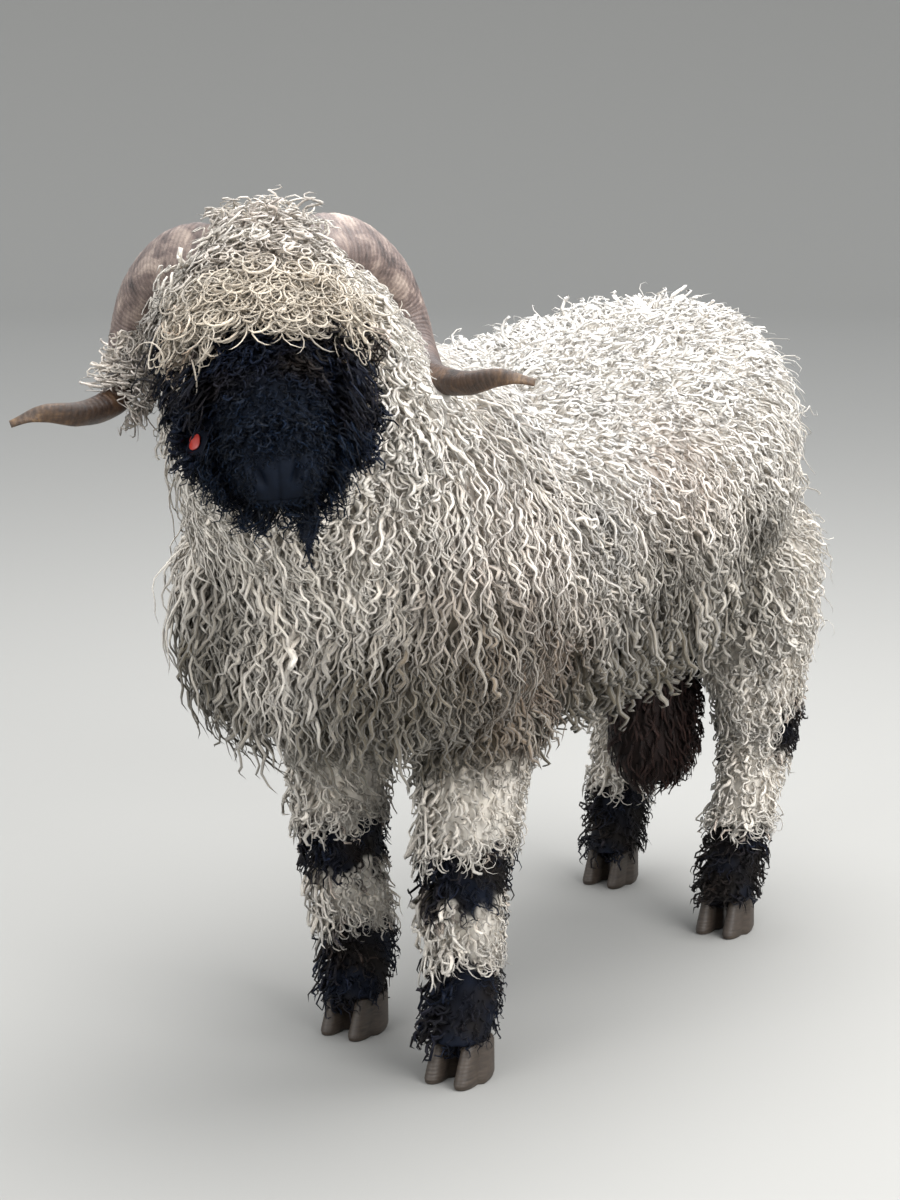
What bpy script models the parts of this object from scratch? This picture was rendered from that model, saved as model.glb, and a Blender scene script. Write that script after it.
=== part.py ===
"""Life-size still model of a Valais Blacknose ram, standing with its head turned to its left.

The ram is laid out with the middle of its trunk over x = y = 0, facing -Y, with its left side at +X
and the floor at z = 0. At the end everything is moved so that the origin is on the floor under the
middle of the whole ram's bounding box. Flesh and fleece are made whole, then parted with thin cuts.
"""

import math
import random

import bmesh
import bpy
import numpy as np
from mathutils import Matrix, Vector
from mathutils.bvhtree import BVHTree

GAP = 0.0003  # clear space kept between neighbouring pieces
ORIGIN = (-0.002, -0.130)  # the point of the layout that the finished origin stands under
SEED = 11
THINNING = 0.46  # share of faces kept after the union, which leaves slivers where locks cross

# Trunk under its fleece: distance behind the middle, height of back, height of belly, half width.
TRUNK = (
    (-0.475, 0.605, 0.490, 0.060),
    (-0.450, 0.672, 0.448, 0.132),
    (-0.385, 0.712, 0.442, 0.172),
    (-0.280, 0.738, 0.446, 0.180),
    (-0.120, 0.744, 0.452, 0.188),
    (0.050, 0.754, 0.462, 0.192),
    (0.180, 0.767, 0.478, 0.176),
    (0.290, 0.769, 0.492, 0.140),
    (0.370, 0.744, 0.515, 0.092),
    (0.412, 0.696, 0.545, 0.056),
    (0.430, 0.655, 0.580, 0.024),
)
TRUNK_COAT = 0.056  # from skin to fleece tips on the flanks
BELLY_FALL = 0.030  # how much further the wool under the belly hangs
CORE_SHARE = 0.42  # how much of a coat's depth is solid core under its clumps

# Neck: top line and throat line as (distance behind the middle, height), and half width.
NECK = (
    ((-0.230, 0.735), (-0.400, 0.440), 0.178),
    ((-0.360, 0.765), (-0.460, 0.500), 0.158),
    ((-0.455, 0.830), (-0.515, 0.590), 0.124),
    ((-0.520, 0.895), (-0.570, 0.670), 0.096),
    ((-0.560, 0.930), (-0.622, 0.735), 0.074),
)
NECK_COAT = 0.060
RUFF_COAT = 0.044  # round the back of the face, under the horns
NECK_PARTING = (Vector((0, -0.425, 0.660)), math.radians(-42))  # a point of the cut, and its lean

# Head: where the poll is, and how the head is turned. The face points at the viewer's left quarter.
POLL = Vector((0.005, -0.600, 0.918))
HEAD_YAW = math.radians(35.0)
HEAD_PITCH = math.radians(40.0)
HEAD_ROLL = math.radians(4.1)
# Skull under its wool, nose to -Y: distance ahead of the poll, top, underside, half width.
SKULL = (
    (0.040, -0.005, -0.070, 0.030),
    (0.020, 0.022, -0.100, 0.055),
    (-0.020, 0.036, -0.124, 0.068),
    (-0.060, 0.035, -0.136, 0.071),
    (-0.100, 0.028, -0.130, 0.066),
    (-0.140, 0.021, -0.114, 0.055),
    (-0.180, 0.011, -0.100, 0.048),
    (-0.213, -0.004, -0.093, 0.046),
    (-0.240, -0.022, -0.088, 0.041),
    (-0.254, -0.044, -0.074, 0.024),
)
HEAD_PARTING = (0.034, 0.172)  # cuts behind the poll and under the jaw
FACE_COAT = 0.038
FORELOCK_COAT = 0.040
FORELOCK_ROWS = (0.024, -0.010, -0.044, -0.072)  # distances ahead of the poll, back row first
FORELOCK_SPAN = 0.058
FORELOCK_LENGTH = 0.120
FORELOCK_WIDTH = 0.056
FORELOCK_IN_ROW = 4
FORELOCK_FAN = 7  # how much the locks spread, for each metre off the middle
BARE_MUZZLE = -0.185  # ahead of this the hair is too short to be locks
EYE_RADIUS = 0.0145
EYE_AT = Vector((0.0455, -0.100, -0.004))  # left eye in the head's own frame
EYE_LOOK = Vector((0.86, -0.46, 0.20)).normalized()
LID_SIZE = (0.0205, 0.0160, 0.0180)  # half length along the face, half height, half depth
LID_OPENING = (0.0125, 0.0072, 0.0120)
NOSTRIL_AT = Vector((0.0170, -0.249, -0.0380))
NOSTRIL_SIZE = (0.0048, 0.0085, 0.0090)
MOUTH_Z = -0.0710
MOUTH_BACK = -0.185
MOUTH_FRONT = -0.257
MOUTH_HALF_WIDTH = 0.045
LIP_SLOT = (0.0065, 0.0012)  # half depth and half height of the line between the lips

# Left horn in the level head's frame: outwards, forwards and up from the poll, and half thickness.
HORN_LINE = (
    (0.028, 0.000, -0.016, 0.0330),
    (0.056, -0.020, 0.006, 0.0345),
    (0.092, -0.056, 0.001, 0.0335),
    (0.124, -0.090, -0.028, 0.0310),
    (0.142, -0.106, -0.068, 0.0290),
    (0.151, -0.092, -0.106, 0.0265),
    (0.164, -0.050, -0.131, 0.0205),
    (0.192, -0.008, -0.135, 0.0135),
    (0.228, 0.012, -0.129, 0.0090),
    (0.262, 0.018, -0.137, 0.0040),
)
HORN_FLATNESS = 0.74
HORN_CLEAR = 0.026  # no lock is rooted nearer to a horn than about this
HORN_CURL_CENTRE = Vector((0.098, -0.040, -0.066))
HORN_SECTIONS = (18, 10)

EAR_ROOT = Vector((0.072, 0.004, -0.056))  # left ear, in the level head's frame
EAR_TIP = Vector((0.082, 0.112, -0.184))
EAR_HALF_WIDTH = 0.027
EAR_THICKNESS = 0.007
EAR_CUP = 0.62  # depth of the cup as a share of the half width
EAR_OPENS_TO = Vector((0.55, 0.80, 0.30))
EAR_SECTIONS = (9, 12)

# Tag in the right ear: where along the ear, then half width, half height and half thickness.
TAG_SHARE = 0.80
TAG_PLATE = (0.0065, 0.0085, 0.0010)
TAG_STUD_RADIUS = 0.0025
TAG_CLEAR = 0.0060

# Legs under their wool: height, how far back from the foot, half width, half depth.
FORE_LEG = (
    (0.530, 0.060, 0.050, 0.080),
    (0.450, 0.048, 0.048, 0.068),
    (0.380, 0.034, 0.042, 0.052),
    (0.300, 0.024, 0.034, 0.040),
    (0.235, 0.016, 0.030, 0.033),
    (0.200, 0.014, 0.029, 0.032),
    (0.140, 0.020, 0.023, 0.025),
    (0.092, 0.020, 0.027, 0.029),
    (0.060, 0.009, 0.026, 0.028),
    (0.0465, 0.003, 0.028, 0.031),
)
HIND_LEG = (
    (0.620, 0.006, 0.050, 0.104),
    (0.520, 0.008, 0.056, 0.098),
    (0.430, 0.020, 0.054, 0.084),
    (0.350, 0.045, 0.045, 0.062),
    (0.290, 0.068, 0.036, 0.047),
    (0.245, 0.077, 0.031, 0.040),
    (0.170, 0.054, 0.024, 0.028),
    (0.092, 0.026, 0.028, 0.030),
    (0.060, 0.012, 0.027, 0.029),
    (0.0465, 0.004, 0.029, 0.032),
)
LEG_COAT = 0.030
LEG_SPLAY = 0.012  # a leg's top is this much further out than its foot
# Feet on the floor, and how far each leg's own top is ahead of where its foot would put it.
FEET = {
    "front_left": (Vector((0.091, -0.364, 0)), 0.000),
    "front_right": (Vector((-0.092, -0.299, 0)), -0.060),
    "hind_left": (Vector((0.120, 0.259, 0)), 0.030),
    "hind_right": (Vector((-0.108, 0.370, 0)), -0.080),
}
LEG_PARTING = 0.400  # height of the cut between trunk and legs

CLAW_LENGTH = 0.074
CLAW_WIDTH = 0.031
CLAW_HEIGHT = 0.046
CLAW_SPLIT = 0.0035  # half the cleft between two claws

# Purse: height, half width, half depth.
PURSE = (
    (0.450, 0.034, 0.050),
    (0.400, 0.036, 0.052),
    (0.340, 0.042, 0.060),
    (0.280, 0.047, 0.066),
    (0.225, 0.043, 0.060),
    (0.190, 0.026, 0.038),
)
PURSE_AT = Vector((0.008, 0.270, 0))

TAIL_ROOT = Vector((0, 0.394, 0.690))
TAIL_TIP = Vector((0, 0.458, 0.400))
TAIL_RADIUS = 0.028
TAIL_PARTING = 0.452
TAIL_ZONE = (0.070, 0.33, 0.705)  # half width, lowest and highest of the box that parts the tail
PURSE_ZONE = (-0.060, 0.066)
# How far from the middle plane each leg's box starts.
LEG_INNER = {"front_left": 0.004, "front_right": 0.004, "hind_left": 0.0665, "hind_right": 0.0605}

CLUMP_SIDES = 6
CLUMP_FORM = ((0.0, 0.62), (0.40, 1.0), (0.82, 0.80))  # share of length, share of width
LOCK_FORM = ((0.0, 0.80), (0.36, 1.0), (0.74, 0.62))
CLUMP_FLATNESS = 0.44  # thickness as a share of width
LOCK_FLATNESS = 0.50
# The clumps of each part: spacing between roots, length, width, and rise over the core.
CLUMPS = {
    "trunk": (0.124, 0.174, 0.146, 0.014),
    "neck": (0.115, 0.161, 0.136, 0.018),
    "ruff": (0.080, 0.112, 0.098, 0.016),
    "skull": (0.066, 0.080, 0.070, 0.030),
    "tail": (0.095, 0.120, 0.084, 0.012),
    "purse": (0.120, 0.130, 0.100, 0.010),
    "leg": (0.094, 0.105, 0.084, 0.012),
}
SWEEP = {"trunk": (0, 0.35, 0), "neck": (0, 0.35, 0), "ruff": (0, 0.35, 0), "leg": (0, 0.05, 0)}
SIZE_SPREAD = (0.90, 1.12)  # least and most that a clump's length differs by, as factors
CURL_SPREAD = 0.10  # how far a clump turns aside, as a share of its length
BELLY_SHORTER = 0.40  # share of its length that a clump loses where it hangs under the belly
PURSE_CORE = 0.006
TAIL_CORE = 0.008
# Rings along each core, and points round it.
CORE_SECTIONS = {
    "trunk": (12, 18),
    "neck": (6, 14),
    "skull": (14, 16),
    "purse": (6, 12),
    "tail": (6, 10),
    "leg": (12, 12),
}
EYE_CLEAR = (0.030, 0.024, 0.030, 0.042)  # round an eye: across, along, below and above it
BROW_LINE = (-0.012, 0.066)  # lowest height and half width of the brow that the forelock covers
BARE_CORONET = 0.075
BARE_INNER_HIND = 0.15
PURSE_BARE_ABOVE = 0.40

# The finish of each kind of piece: colour, roughness.
FINISHES = {
    "fleece": ((0.62, 0.55, 0.45, 1), 0.95),
    "black_wool": ((0.015, 0.013, 0.014, 1), 0.85),
    "purse_wool": ((0.035, 0.022, 0.020, 1), 0.9),
    "horn": ((0.20, 0.13, 0.10, 1), 0.55),
    "hoof": ((0.030, 0.024, 0.020, 1), 0.5),
    "eye": ((0.02, 0.012, 0.008, 1), 0.1),
    "tag_plastic": ((0.75, 0.06, 0.03, 1), 0.4),
}
# The finish of a node by its name, or else by the first word of it. All others are fleece.
FINISH_OF = {
    "horn": "horn",
    "claw": "hoof",
    "eye": "eye",
    "ear": "black_wool",
    "ear_tag": "tag_plastic",
    "head": "black_wool",
    "scrotum": "purse_wool",
}


def clear_scene():
    for obj in list(bpy.data.objects):
        bpy.data.objects.remove(obj)


def make_finishes():
    """One Principled material for each finish."""
    made = {}
    for name, (colour, roughness) in FINISHES.items():
        material = bpy.data.materials.new(name)
        material.use_nodes = True
        shader = material.node_tree.nodes["Principled BSDF"]
        shader.inputs["Base Color"].default_value = colour
        shader.inputs["Roughness"].default_value = roughness
        shader.inputs["Metallic"].default_value = 0.0
        made[name] = material
    return made


def smooth_rows(rows, count):
    """Rows of numbers, read at count even steps along a Catmull-Rom curve through them."""
    rows = np.array(rows, float)
    at = np.linspace(0, len(rows) - 1, count)
    i = np.clip(at.astype(int), 0, len(rows) - 2)
    f = (at - i)[:, None]
    ends = np.vstack([2 * rows[0] - rows[1], rows, 2 * rows[-1] - rows[-2]])
    a, b, c, d = ends[i], ends[i + 1], ends[i + 2], ends[i + 3]
    return b + 0.5 * f * (c - a + f * (2 * a - 5 * b + 4 * c - d + f * (3 * b - a - 3 * c + d)))


def new_object(name, mesh, collection):
    obj = bpy.data.objects.new(name, mesh)
    collection.objects.link(obj)
    return obj


def closed_tube(rings, tip=None):
    """A mesh through rings of points, shape (rings, sides, 3), closed by flat ends or by a tip."""
    count, sides = rings.shape[:2]
    bm = bmesh.new()
    points = [bm.verts.new(p) for p in rings.reshape(-1, 3)]
    for r in range(count - 1):
        for s in range(sides):
            t = (s + 1) % sides
            corners = (r * sides + s, r * sides + t, (r + 1) * sides + t, (r + 1) * sides + s)
            bm.faces.new([points[k] for k in corners])
    bm.faces.new(points[:sides][::-1])
    if tip is None:
        bm.faces.new(points[-sides:])
    else:
        end = bm.verts.new(tip)
        for s in range(sides):
            bm.faces.new((points[s - sides], points[(s + 1) % sides - sides], end))
    bmesh.ops.triangulate(bm, faces=bm.faces[:])
    if bm.calc_volume(signed=True) < 0:
        bmesh.ops.reverse_faces(bm, faces=bm.faces[:])
    mesh = bpy.data.meshes.new("tube")
    bm.to_mesh(mesh)
    bm.free()
    return mesh


def ring(centre, side, up, sides, squareness=2.0):
    """Points round a superellipse about centre, with half axes side and up."""
    turn = np.linspace(0, 2 * math.pi, sides, endpoint=False)
    across = np.sign(np.cos(turn)) * np.abs(np.cos(turn)) ** (2 / squareness)
    above = np.sign(np.sin(turn)) * np.abs(np.sin(turn)) ** (2 / squareness)
    return np.array(centre) + np.outer(across, side) + np.outer(above, up)


def trunk_rings(grow, count, sides):
    """Trunk sections, taller and wider than the skin by grow."""
    rings = []
    stretch = 1 + 1.1 * grow / TRUNK[-1][0]
    for back, top, belly, half in smooth_rows(TRUNK, count):
        middle = (top + belly) / 2 - 0.1 * grow
        rise = (top - belly) / 2 + 0.95 * grow
        centre = (0, back * stretch, middle)
        rings.append(ring(centre, (half + grow, 0, 0), (0, 0, rise), sides, 2.25))
    return np.array(rings)


def neck_rings(grow, count, sides):
    """Neck sections, each from its point on the top line to its point on the throat line."""
    flat = [(*top, *throat, half) for top, throat, half in NECK]
    rings = []
    for top_y, top_z, low_y, low_z, half in smooth_rows(flat, count):
        rise = np.array((0, top_y - low_y, top_z - low_z)) / 2
        rise = rise * (1 + grow / np.linalg.norm(rise))
        middle = (0, (top_y + low_y) / 2, (top_z + low_z) / 2)
        rings.append(ring(middle, (half + grow, 0, 0), rise, sides))
    return np.array(rings)


def level_head():
    """The head's place and turn without its nod: what horns and ears are measured in."""
    turn = Matrix.Rotation(HEAD_YAW, 4, "Z") @ Matrix.Rotation(-HEAD_ROLL, 4, "Y")
    return Matrix.Translation(POLL) @ turn


def head_frame():
    """The head's own frame, nose to -Y, after its turn and its nod."""
    return level_head() @ Matrix.Rotation(HEAD_PITCH, 4, "X")


def placed(rings, matrix):
    """Rings of points moved by a matrix."""
    m = np.array(matrix)
    return rings @ m[:3, :3].T + m[:3, 3]


def skull_rings(grow, count, sides):
    """Skull sections in the ram's layout. The coat thins to nothing over the muzzle's end."""
    rings = []
    for ahead, top, low, half in smooth_rows(SKULL, count):
        woolly = min(1.0, max(0.0, (ahead + 0.235) / 0.09))
        thick = grow * woolly
        rise = (top - low) / 2 + thick
        centre = (0, ahead, (top + low) / 2)
        rings.append(ring(centre, (half + thick, 0, 0), (0, 0, rise), sides, 2.2))
    return placed(np.array(rings), head_frame())


def leg_rings(name, grow, count, sides):
    """Leg sections from inside the trunk down to the coronet."""
    foot, ahead = FEET[name]
    rows = FORE_LEG if name.startswith("front") else HIND_LEG
    outwards = math.copysign(1, foot.x)
    rings = []
    for height, back, half, deep in smooth_rows(rows, count):
        high = min(1.0, max(0.0, (height - 0.10) / 0.40))
        low = min(1.0, height / 0.40)
        middle = (foot.x + outwards * LEG_SPLAY * high, foot.y + back + ahead * high, height)
        thick = grow * (0.45 + 0.55 * low)
        rings.append(ring(middle, (half + thick, 0, 0), (0, deep + thick, 0), sides))
    return np.array(rings)


def purse_rings(grow, count, sides):
    """Purse sections, top to bottom."""
    rings = []
    for height, half, deep in smooth_rows(PURSE, count):
        middle = (PURSE_AT.x, PURSE_AT.y, height)
        rings.append(ring(middle, (half + grow, 0, 0), (0, deep + grow, 0), sides))
    return np.array(rings)


def tail_rings(grow, count, sides):
    """Tail sections along an arc that leaves the rump backwards and then hangs."""
    rings = []
    for t in np.linspace(0, 1, count):
        arc = math.sin(t * math.pi / 2)
        middle = (0, TAIL_ROOT.y + (TAIL_TIP.y - TAIL_ROOT.y) * arc ** 0.6,
                  TAIL_ROOT.z + (TAIL_TIP.z - TAIL_ROOT.z) * t)
        thick = TAIL_RADIUS * (1.1 - 0.55 * t ** 3) + grow
        rings.append(ring(middle, (thick, 0, 0), (0, thick * 0.75, thick * 0.30), sides))
    return np.array(rings)


def horn_rings(side, grow, count, sides):
    """Horn sections: flattened across the curl, with a keel along the outer edge."""
    line = smooth_rows(HORN_LINE, count)
    ahead = np.gradient(line[:, :3], axis=0)
    turn = np.linspace(0, 2 * math.pi, sides, endpoint=False)
    keel = 1 + 0.08 * np.cos(3 * turn)
    rings = []
    for (*middle, size), step in zip(line, ahead):
        forward = Vector(step).normalized()
        away = Vector(middle) - HORN_CURL_CENTRE
        away = (away - away.dot(forward) * forward).normalized()
        across = forward.cross(away)
        out = np.outer(np.cos(turn) * keel * (size + grow), away)
        wide = np.outer(np.sin(turn) * keel * (size * HORN_FLATNESS + grow), across)
        rings.append(np.array(middle) + out + wide)
    rings = np.array(rings)
    rings[0] -= np.array(Vector(ahead[0]).normalized()) * grow
    rings[-1] += np.array(Vector(ahead[-1]).normalized()) * grow
    rings[:, :, 0] *= side
    return placed(rings * (1, -1, 1), level_head())


def ear_axes():
    """The left ear's own directions: along it, across it, and out of its cup."""
    along = (EAR_TIP - EAR_ROOT).normalized()
    opens = (EAR_OPENS_TO - EAR_OPENS_TO.dot(along) * along).normalized()
    return along, along.cross(opens), opens


def ear_rings(side, grow, count, sides):
    """A leaf-shaped ear bent to a cup: a thick strip follows half an ellipse at each section."""
    along, across, opens = ear_axes()
    sweep = np.linspace(0, math.pi, sides // 2)
    rings = []
    for t in np.linspace(0, 1, count):
        leaf = 0.42 + 0.62 * math.sin(math.pi * min(1.0, 1.05 * t)) ** 0.8
        width = EAR_HALF_WIDTH * leaf * (1 - 0.35 * t ** 3)
        cup = width * EAR_CUP * (1 - 0.45 * t)
        half = EAR_THICKNESS * (1 - 0.45 * t) / 2 + grow
        middle = EAR_ROOT + (EAR_TIP - EAR_ROOT) * t + along * grow * (2 * t - 1)
        bend = np.stack([width * np.cos(sweep), -cup * np.sin(sweep)], axis=1)
        outwards = np.stack([cup * np.cos(sweep), -width * np.sin(sweep)], axis=1)
        outwards /= np.linalg.norm(outwards, axis=1)[:, None]
        bend[[0, -1], 1] += grow
        strip = np.vstack([bend + outwards * half, (bend - outwards * half)[::-1]])
        rings.append(np.array(middle) + np.outer(strip[:, 0], across) + np.outer(strip[:, 1], opens))
    rings = np.array(rings)
    rings[:, :, 0] *= side
    return placed(rings * (1, -1, 1), level_head())


def claw_rings():
    """One claw, toe to -Y: a flat pointed sole, drawn in and leant back to the coronet."""
    rings = []
    turn = np.linspace(0, 2 * math.pi, 10, endpoint=False)
    for height, share, lean in ((0.0, 0.94, 0.0), (0.006, 1.0, 0.0), (CLAW_HEIGHT, 0.80, 0.010)):
        toe = np.where(np.sin(turn) < 0, 0.62 + 0.38 * np.abs(np.sin(turn)), 1.0)
        x = np.cos(turn) * toe * CLAW_WIDTH / 2 * share
        y = np.sin(turn) * CLAW_LENGTH / 2 * share + lean
        rings.append(np.stack([x, y, np.full_like(x, height)], axis=1))
    return np.array(rings)


def surface_spots(rings, spacing, rng):
    """Places in staggered rows over a tube: each a point and its outward normal."""
    middles = rings.mean(axis=1)
    steps = np.linalg.norm(np.diff(rings, axis=0), axis=2).mean(axis=1)
    travel = np.concatenate([[0], np.cumsum(steps)])
    rows = max(2, round(travel[-1] / (spacing * 0.9)))
    spots = []
    for row in range(rows):
        at = (row + 0.5) / rows * travel[-1]
        k = min(int(np.searchsorted(travel, at)) - 1, len(rings) - 2)
        share = (at - travel[k]) / (travel[k + 1] - travel[k])
        loop = rings[k] * (1 - share) + rings[k + 1] * share
        middle = middles[k] * (1 - share) + middles[k + 1] * share
        along = rings[k + 1] - rings[k]
        closed = np.vstack([loop, loop[:1]])
        round_it = np.concatenate([[0], np.cumsum(np.linalg.norm(np.diff(closed, axis=0), axis=1))])
        number = max(3, round(round_it[-1] / spacing))
        for n in range(number):
            where = ((n + 0.5 * (row % 2) + rng.uniform(-0.12, 0.12)) / number % 1) * round_it[-1]
            s = int(np.searchsorted(round_it, where, side="right")) - 1
            s = min(s, len(loop) - 1)
            f = (where - round_it[s]) / (round_it[s + 1] - round_it[s])
            point = closed[s] * (1 - f) + closed[s + 1] * f
            normal = np.cross(closed[s + 1] - closed[s], along[s])
            if np.dot(normal, point - middle) < 0:
                normal = -normal
            spots.append((Vector(point), Vector(normal).normalized()))
    return spots


def hanging(normal, sweep):
    """The lie of the wool: down the surface, parted along the back, and swept by a given direction."""
    outwards = math.copysign(0.3, normal.x)
    lie = Vector((outwards * max(0.0, normal.z), 0, -1)) + Vector(sweep)
    lie = lie - lie.dot(normal) * normal
    return lie.normalized()


def clump(point, normal, lie, length, width, rise, curl, collection, form=CLUMP_FORM, flat=CLUMP_FLATNESS):
    """One lock of wool, rooted under the surface: it swells out along the normal, bends over along
    the lie, turns a little to one side and ends in a point beyond its last section."""
    side = normal.cross(lie).normalized()
    rings = []
    for k, (t, share) in enumerate((*form, (1.0, 0.0))):
        middle = (
            point
            + normal * rise * (1.75 * math.sin(0.66 * math.pi * t) - 0.90)
            + lie * length * (0.30 * t + 0.55 * t * t - 0.20)
            + side * length * curl * math.sin(math.pi * t)
        )
        steep = math.radians(90 - 105 * t)
        heading = normal * math.sin(steep) + lie * math.cos(steep)
        thin = side.cross(heading).normalized()
        turned = Matrix.Rotation(math.pi / CLUMP_SIDES * (k % 2), 3, heading)
        half = share * width / 2
        rings.append(ring(middle, turned @ side * half, turned @ thin * half, CLUMP_SIDES))
        spread = rings[-1] - np.array(middle)
        rings[-1] -= np.outer(spread @ np.array(thin), thin) * (1 - flat)
    return new_object("clump", closed_tube(np.array(rings[:-1]), rings[-1].mean(axis=0)), collection)


def bvh_of(mesh):
    return BVHTree.FromPolygons([v.co for v in mesh.vertices], [p.vertices for p in mesh.polygons])


def inside(tree, point):
    """Whether a point is inside a closed mesh: a ray from it then leaves an odd number of times."""
    heading = Vector((0.57, 0.31, 0.76)).normalized()
    crossings = 0
    hit = tree.ray_cast(point, heading)[0]
    while hit is not None:
        crossings += 1
        hit = tree.ray_cast(hit + heading * 1e-5, heading)[0]
    return crossings % 2 == 1


def apply_modifiers(obj):
    """The object's mesh with its modifiers made part of it."""
    graph = bpy.context.evaluated_depsgraph_get()
    mesh = bpy.data.meshes.new_from_object(obj.evaluated_get(graph))
    obj.modifiers.clear()
    old = obj.data
    obj.data = mesh
    bpy.data.meshes.remove(old)


def boolean(obj, operation, other):
    """Joins or cuts obj with an object or a collection, at once."""
    step = obj.modifiers.new("step", "BOOLEAN")
    step.operation = operation
    step.solver = "MANIFOLD"
    if isinstance(other, bpy.types.Collection):
        step.operand_type = "COLLECTION"
        step.collection = other
    else:
        step.object = other
    apply_modifiers(obj)


def keep_largest(obj):
    """Drops all but the closed surface with the largest volume, so that hollows fill and scraps go."""
    bm = bmesh.new()
    bm.from_mesh(obj.data)
    bmesh.ops.triangulate(bm, faces=bm.faces[:])
    bm.faces.ensure_lookup_table()
    group = {}
    for start in bm.faces:
        if start in group:
            continue
        pending = [start]
        group[start] = start.index
        while pending:
            for edge in pending.pop().edges:
                for face in edge.link_faces:
                    if face not in group:
                        group[face] = start.index
                        pending.append(face)
    volumes = {}
    for face, key in group.items():
        a, b, c = (v.co for v in face.verts)
        volumes[key] = volumes.get(key, 0.0) + a.dot(b.cross(c)) / 6
    best = max(volumes, key=volumes.get)
    bmesh.ops.delete(bm, geom=[f for f, key in group.items() if key != best], context="FACES")
    bm.to_mesh(obj.data)
    bm.free()


def box(low, high, matrix, cutters, grow=0.0):
    """A box cutter between two corners in the frame of a matrix, larger all round by grow."""
    low, high = Vector(low), Vector(high)
    bm = bmesh.new()
    bmesh.ops.create_cube(bm, size=1)
    size = high - low + Vector((2 * grow,) * 3)
    bmesh.ops.transform(bm, matrix=matrix @ Matrix.Translation((low + high) / 2)
                        @ Matrix.Diagonal((*size, 1)), verts=bm.verts)
    mesh = bpy.data.meshes.new("zone")
    bm.to_mesh(mesh)
    bm.free()
    obj = new_object("zone", mesh, cutters)
    obj.hide_render = True
    obj.display_type = "WIRE"
    return obj


def helper(mesh, cutters):
    """A mesh kept only to cut with."""
    obj = new_object("cutter", mesh, cutters)
    obj.hide_render = True
    obj.display_type = "WIRE"
    return obj


def ball(centre, radius, segments=16, rings=10, stretch=(1, 1, 1), matrix=None):
    """A sphere mesh about centre, stretched along its own axes before matrix turns it."""
    bm = bmesh.new()
    bmesh.ops.create_uvsphere(bm, u_segments=segments, v_segments=rings, radius=radius)
    bmesh.ops.transform(bm, matrix=(matrix or Matrix()) @ Matrix.Translation(centre)
                        @ Matrix.Diagonal((*stretch, 1)), verts=bm.verts)
    mesh = bpy.data.meshes.new("ball")
    bm.to_mesh(mesh)
    bm.free()
    return mesh


def cores():
    """The solid core under each coat, as rings."""
    found = {
        "trunk": trunk_rings(TRUNK_COAT * CORE_SHARE, *CORE_SECTIONS["trunk"]),
        "neck": neck_rings(NECK_COAT * CORE_SHARE, *CORE_SECTIONS["neck"]),
        "skull": skull_rings(FACE_COAT * CORE_SHARE, *CORE_SECTIONS["skull"]),
        "purse": purse_rings(PURSE_CORE, *CORE_SECTIONS["purse"]),
        "tail": tail_rings(TAIL_CORE, *CORE_SECTIONS["tail"]),
    }
    for name in FEET:
        found[name] = leg_rings(name, LEG_COAT * CORE_SHARE, *CORE_SECTIONS["leg"])
    return found


def in_head(point):
    """Whether a point is on the head's side of the cuts that part it from the neck."""
    local = head_frame().inverted() @ point
    return local.y < HEAD_PARTING[0] and local.z > -HEAD_PARTING[1]


def bare_face(point):
    """Whether a point is on the brow, round an eye or on the muzzle, where no round curl grows."""
    local = head_frame().inverted() @ point
    eye_gap = Vector((abs(local.x), local.y, local.z)) - EYE_AT
    near_eye = (abs(eye_gap.x) < EYE_CLEAR[0] and abs(eye_gap.y) < EYE_CLEAR[1]
                and -EYE_CLEAR[2] < eye_gap.z < EYE_CLEAR[3])
    on_brow = local.z > BROW_LINE[0] and abs(local.x) < BROW_LINE[1]
    return local.y < BARE_MUZZLE or near_eye or on_brow


def bare_leg(name, point, normal):
    """Whether a point of a leg is at the claws, or against the purse."""
    inner = normal.x * FEET[name][0].x < 0
    by_purse = inner and name.startswith("hind") and point.z > BARE_INNER_HIND
    return point.z < BARE_CORONET or by_purse


def grow_forelock(joined, tree, rng):
    """Rows of flat locks from the poll forwards, which fall over the brow and lap like shingles."""
    frame = head_frame()
    for row, ahead in enumerate(FORELOCK_ROWS):
        number = FORELOCK_IN_ROW + row % 2
        for n in range(number):
            across = FORELOCK_SPAN * ((n + 0.5) / number * 2 - 1)
            start = frame @ Vector((across, ahead + rng.uniform(-0.004, 0.004), 0.2))
            point, normal, _, _ = tree.ray_cast(start, frame.to_3x3() @ Vector((0, 0, -1)))
            lie = frame.to_3x3() @ Vector((across * FORELOCK_FAN, -1, -0.1))
            lie = (lie - lie.dot(normal) * normal).normalized()
            length = FORELOCK_LENGTH * rng.uniform(*SIZE_SPREAD) * (1 - 0.15 * abs(across) / FORELOCK_SPAN)
            curl = rng.uniform(-CURL_SPREAD, CURL_SPREAD)
            clump(point, normal, lie, length, FORELOCK_WIDTH, FORELOCK_COAT, curl, joined,
                  LOCK_FORM, LOCK_FLATNESS)


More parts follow.
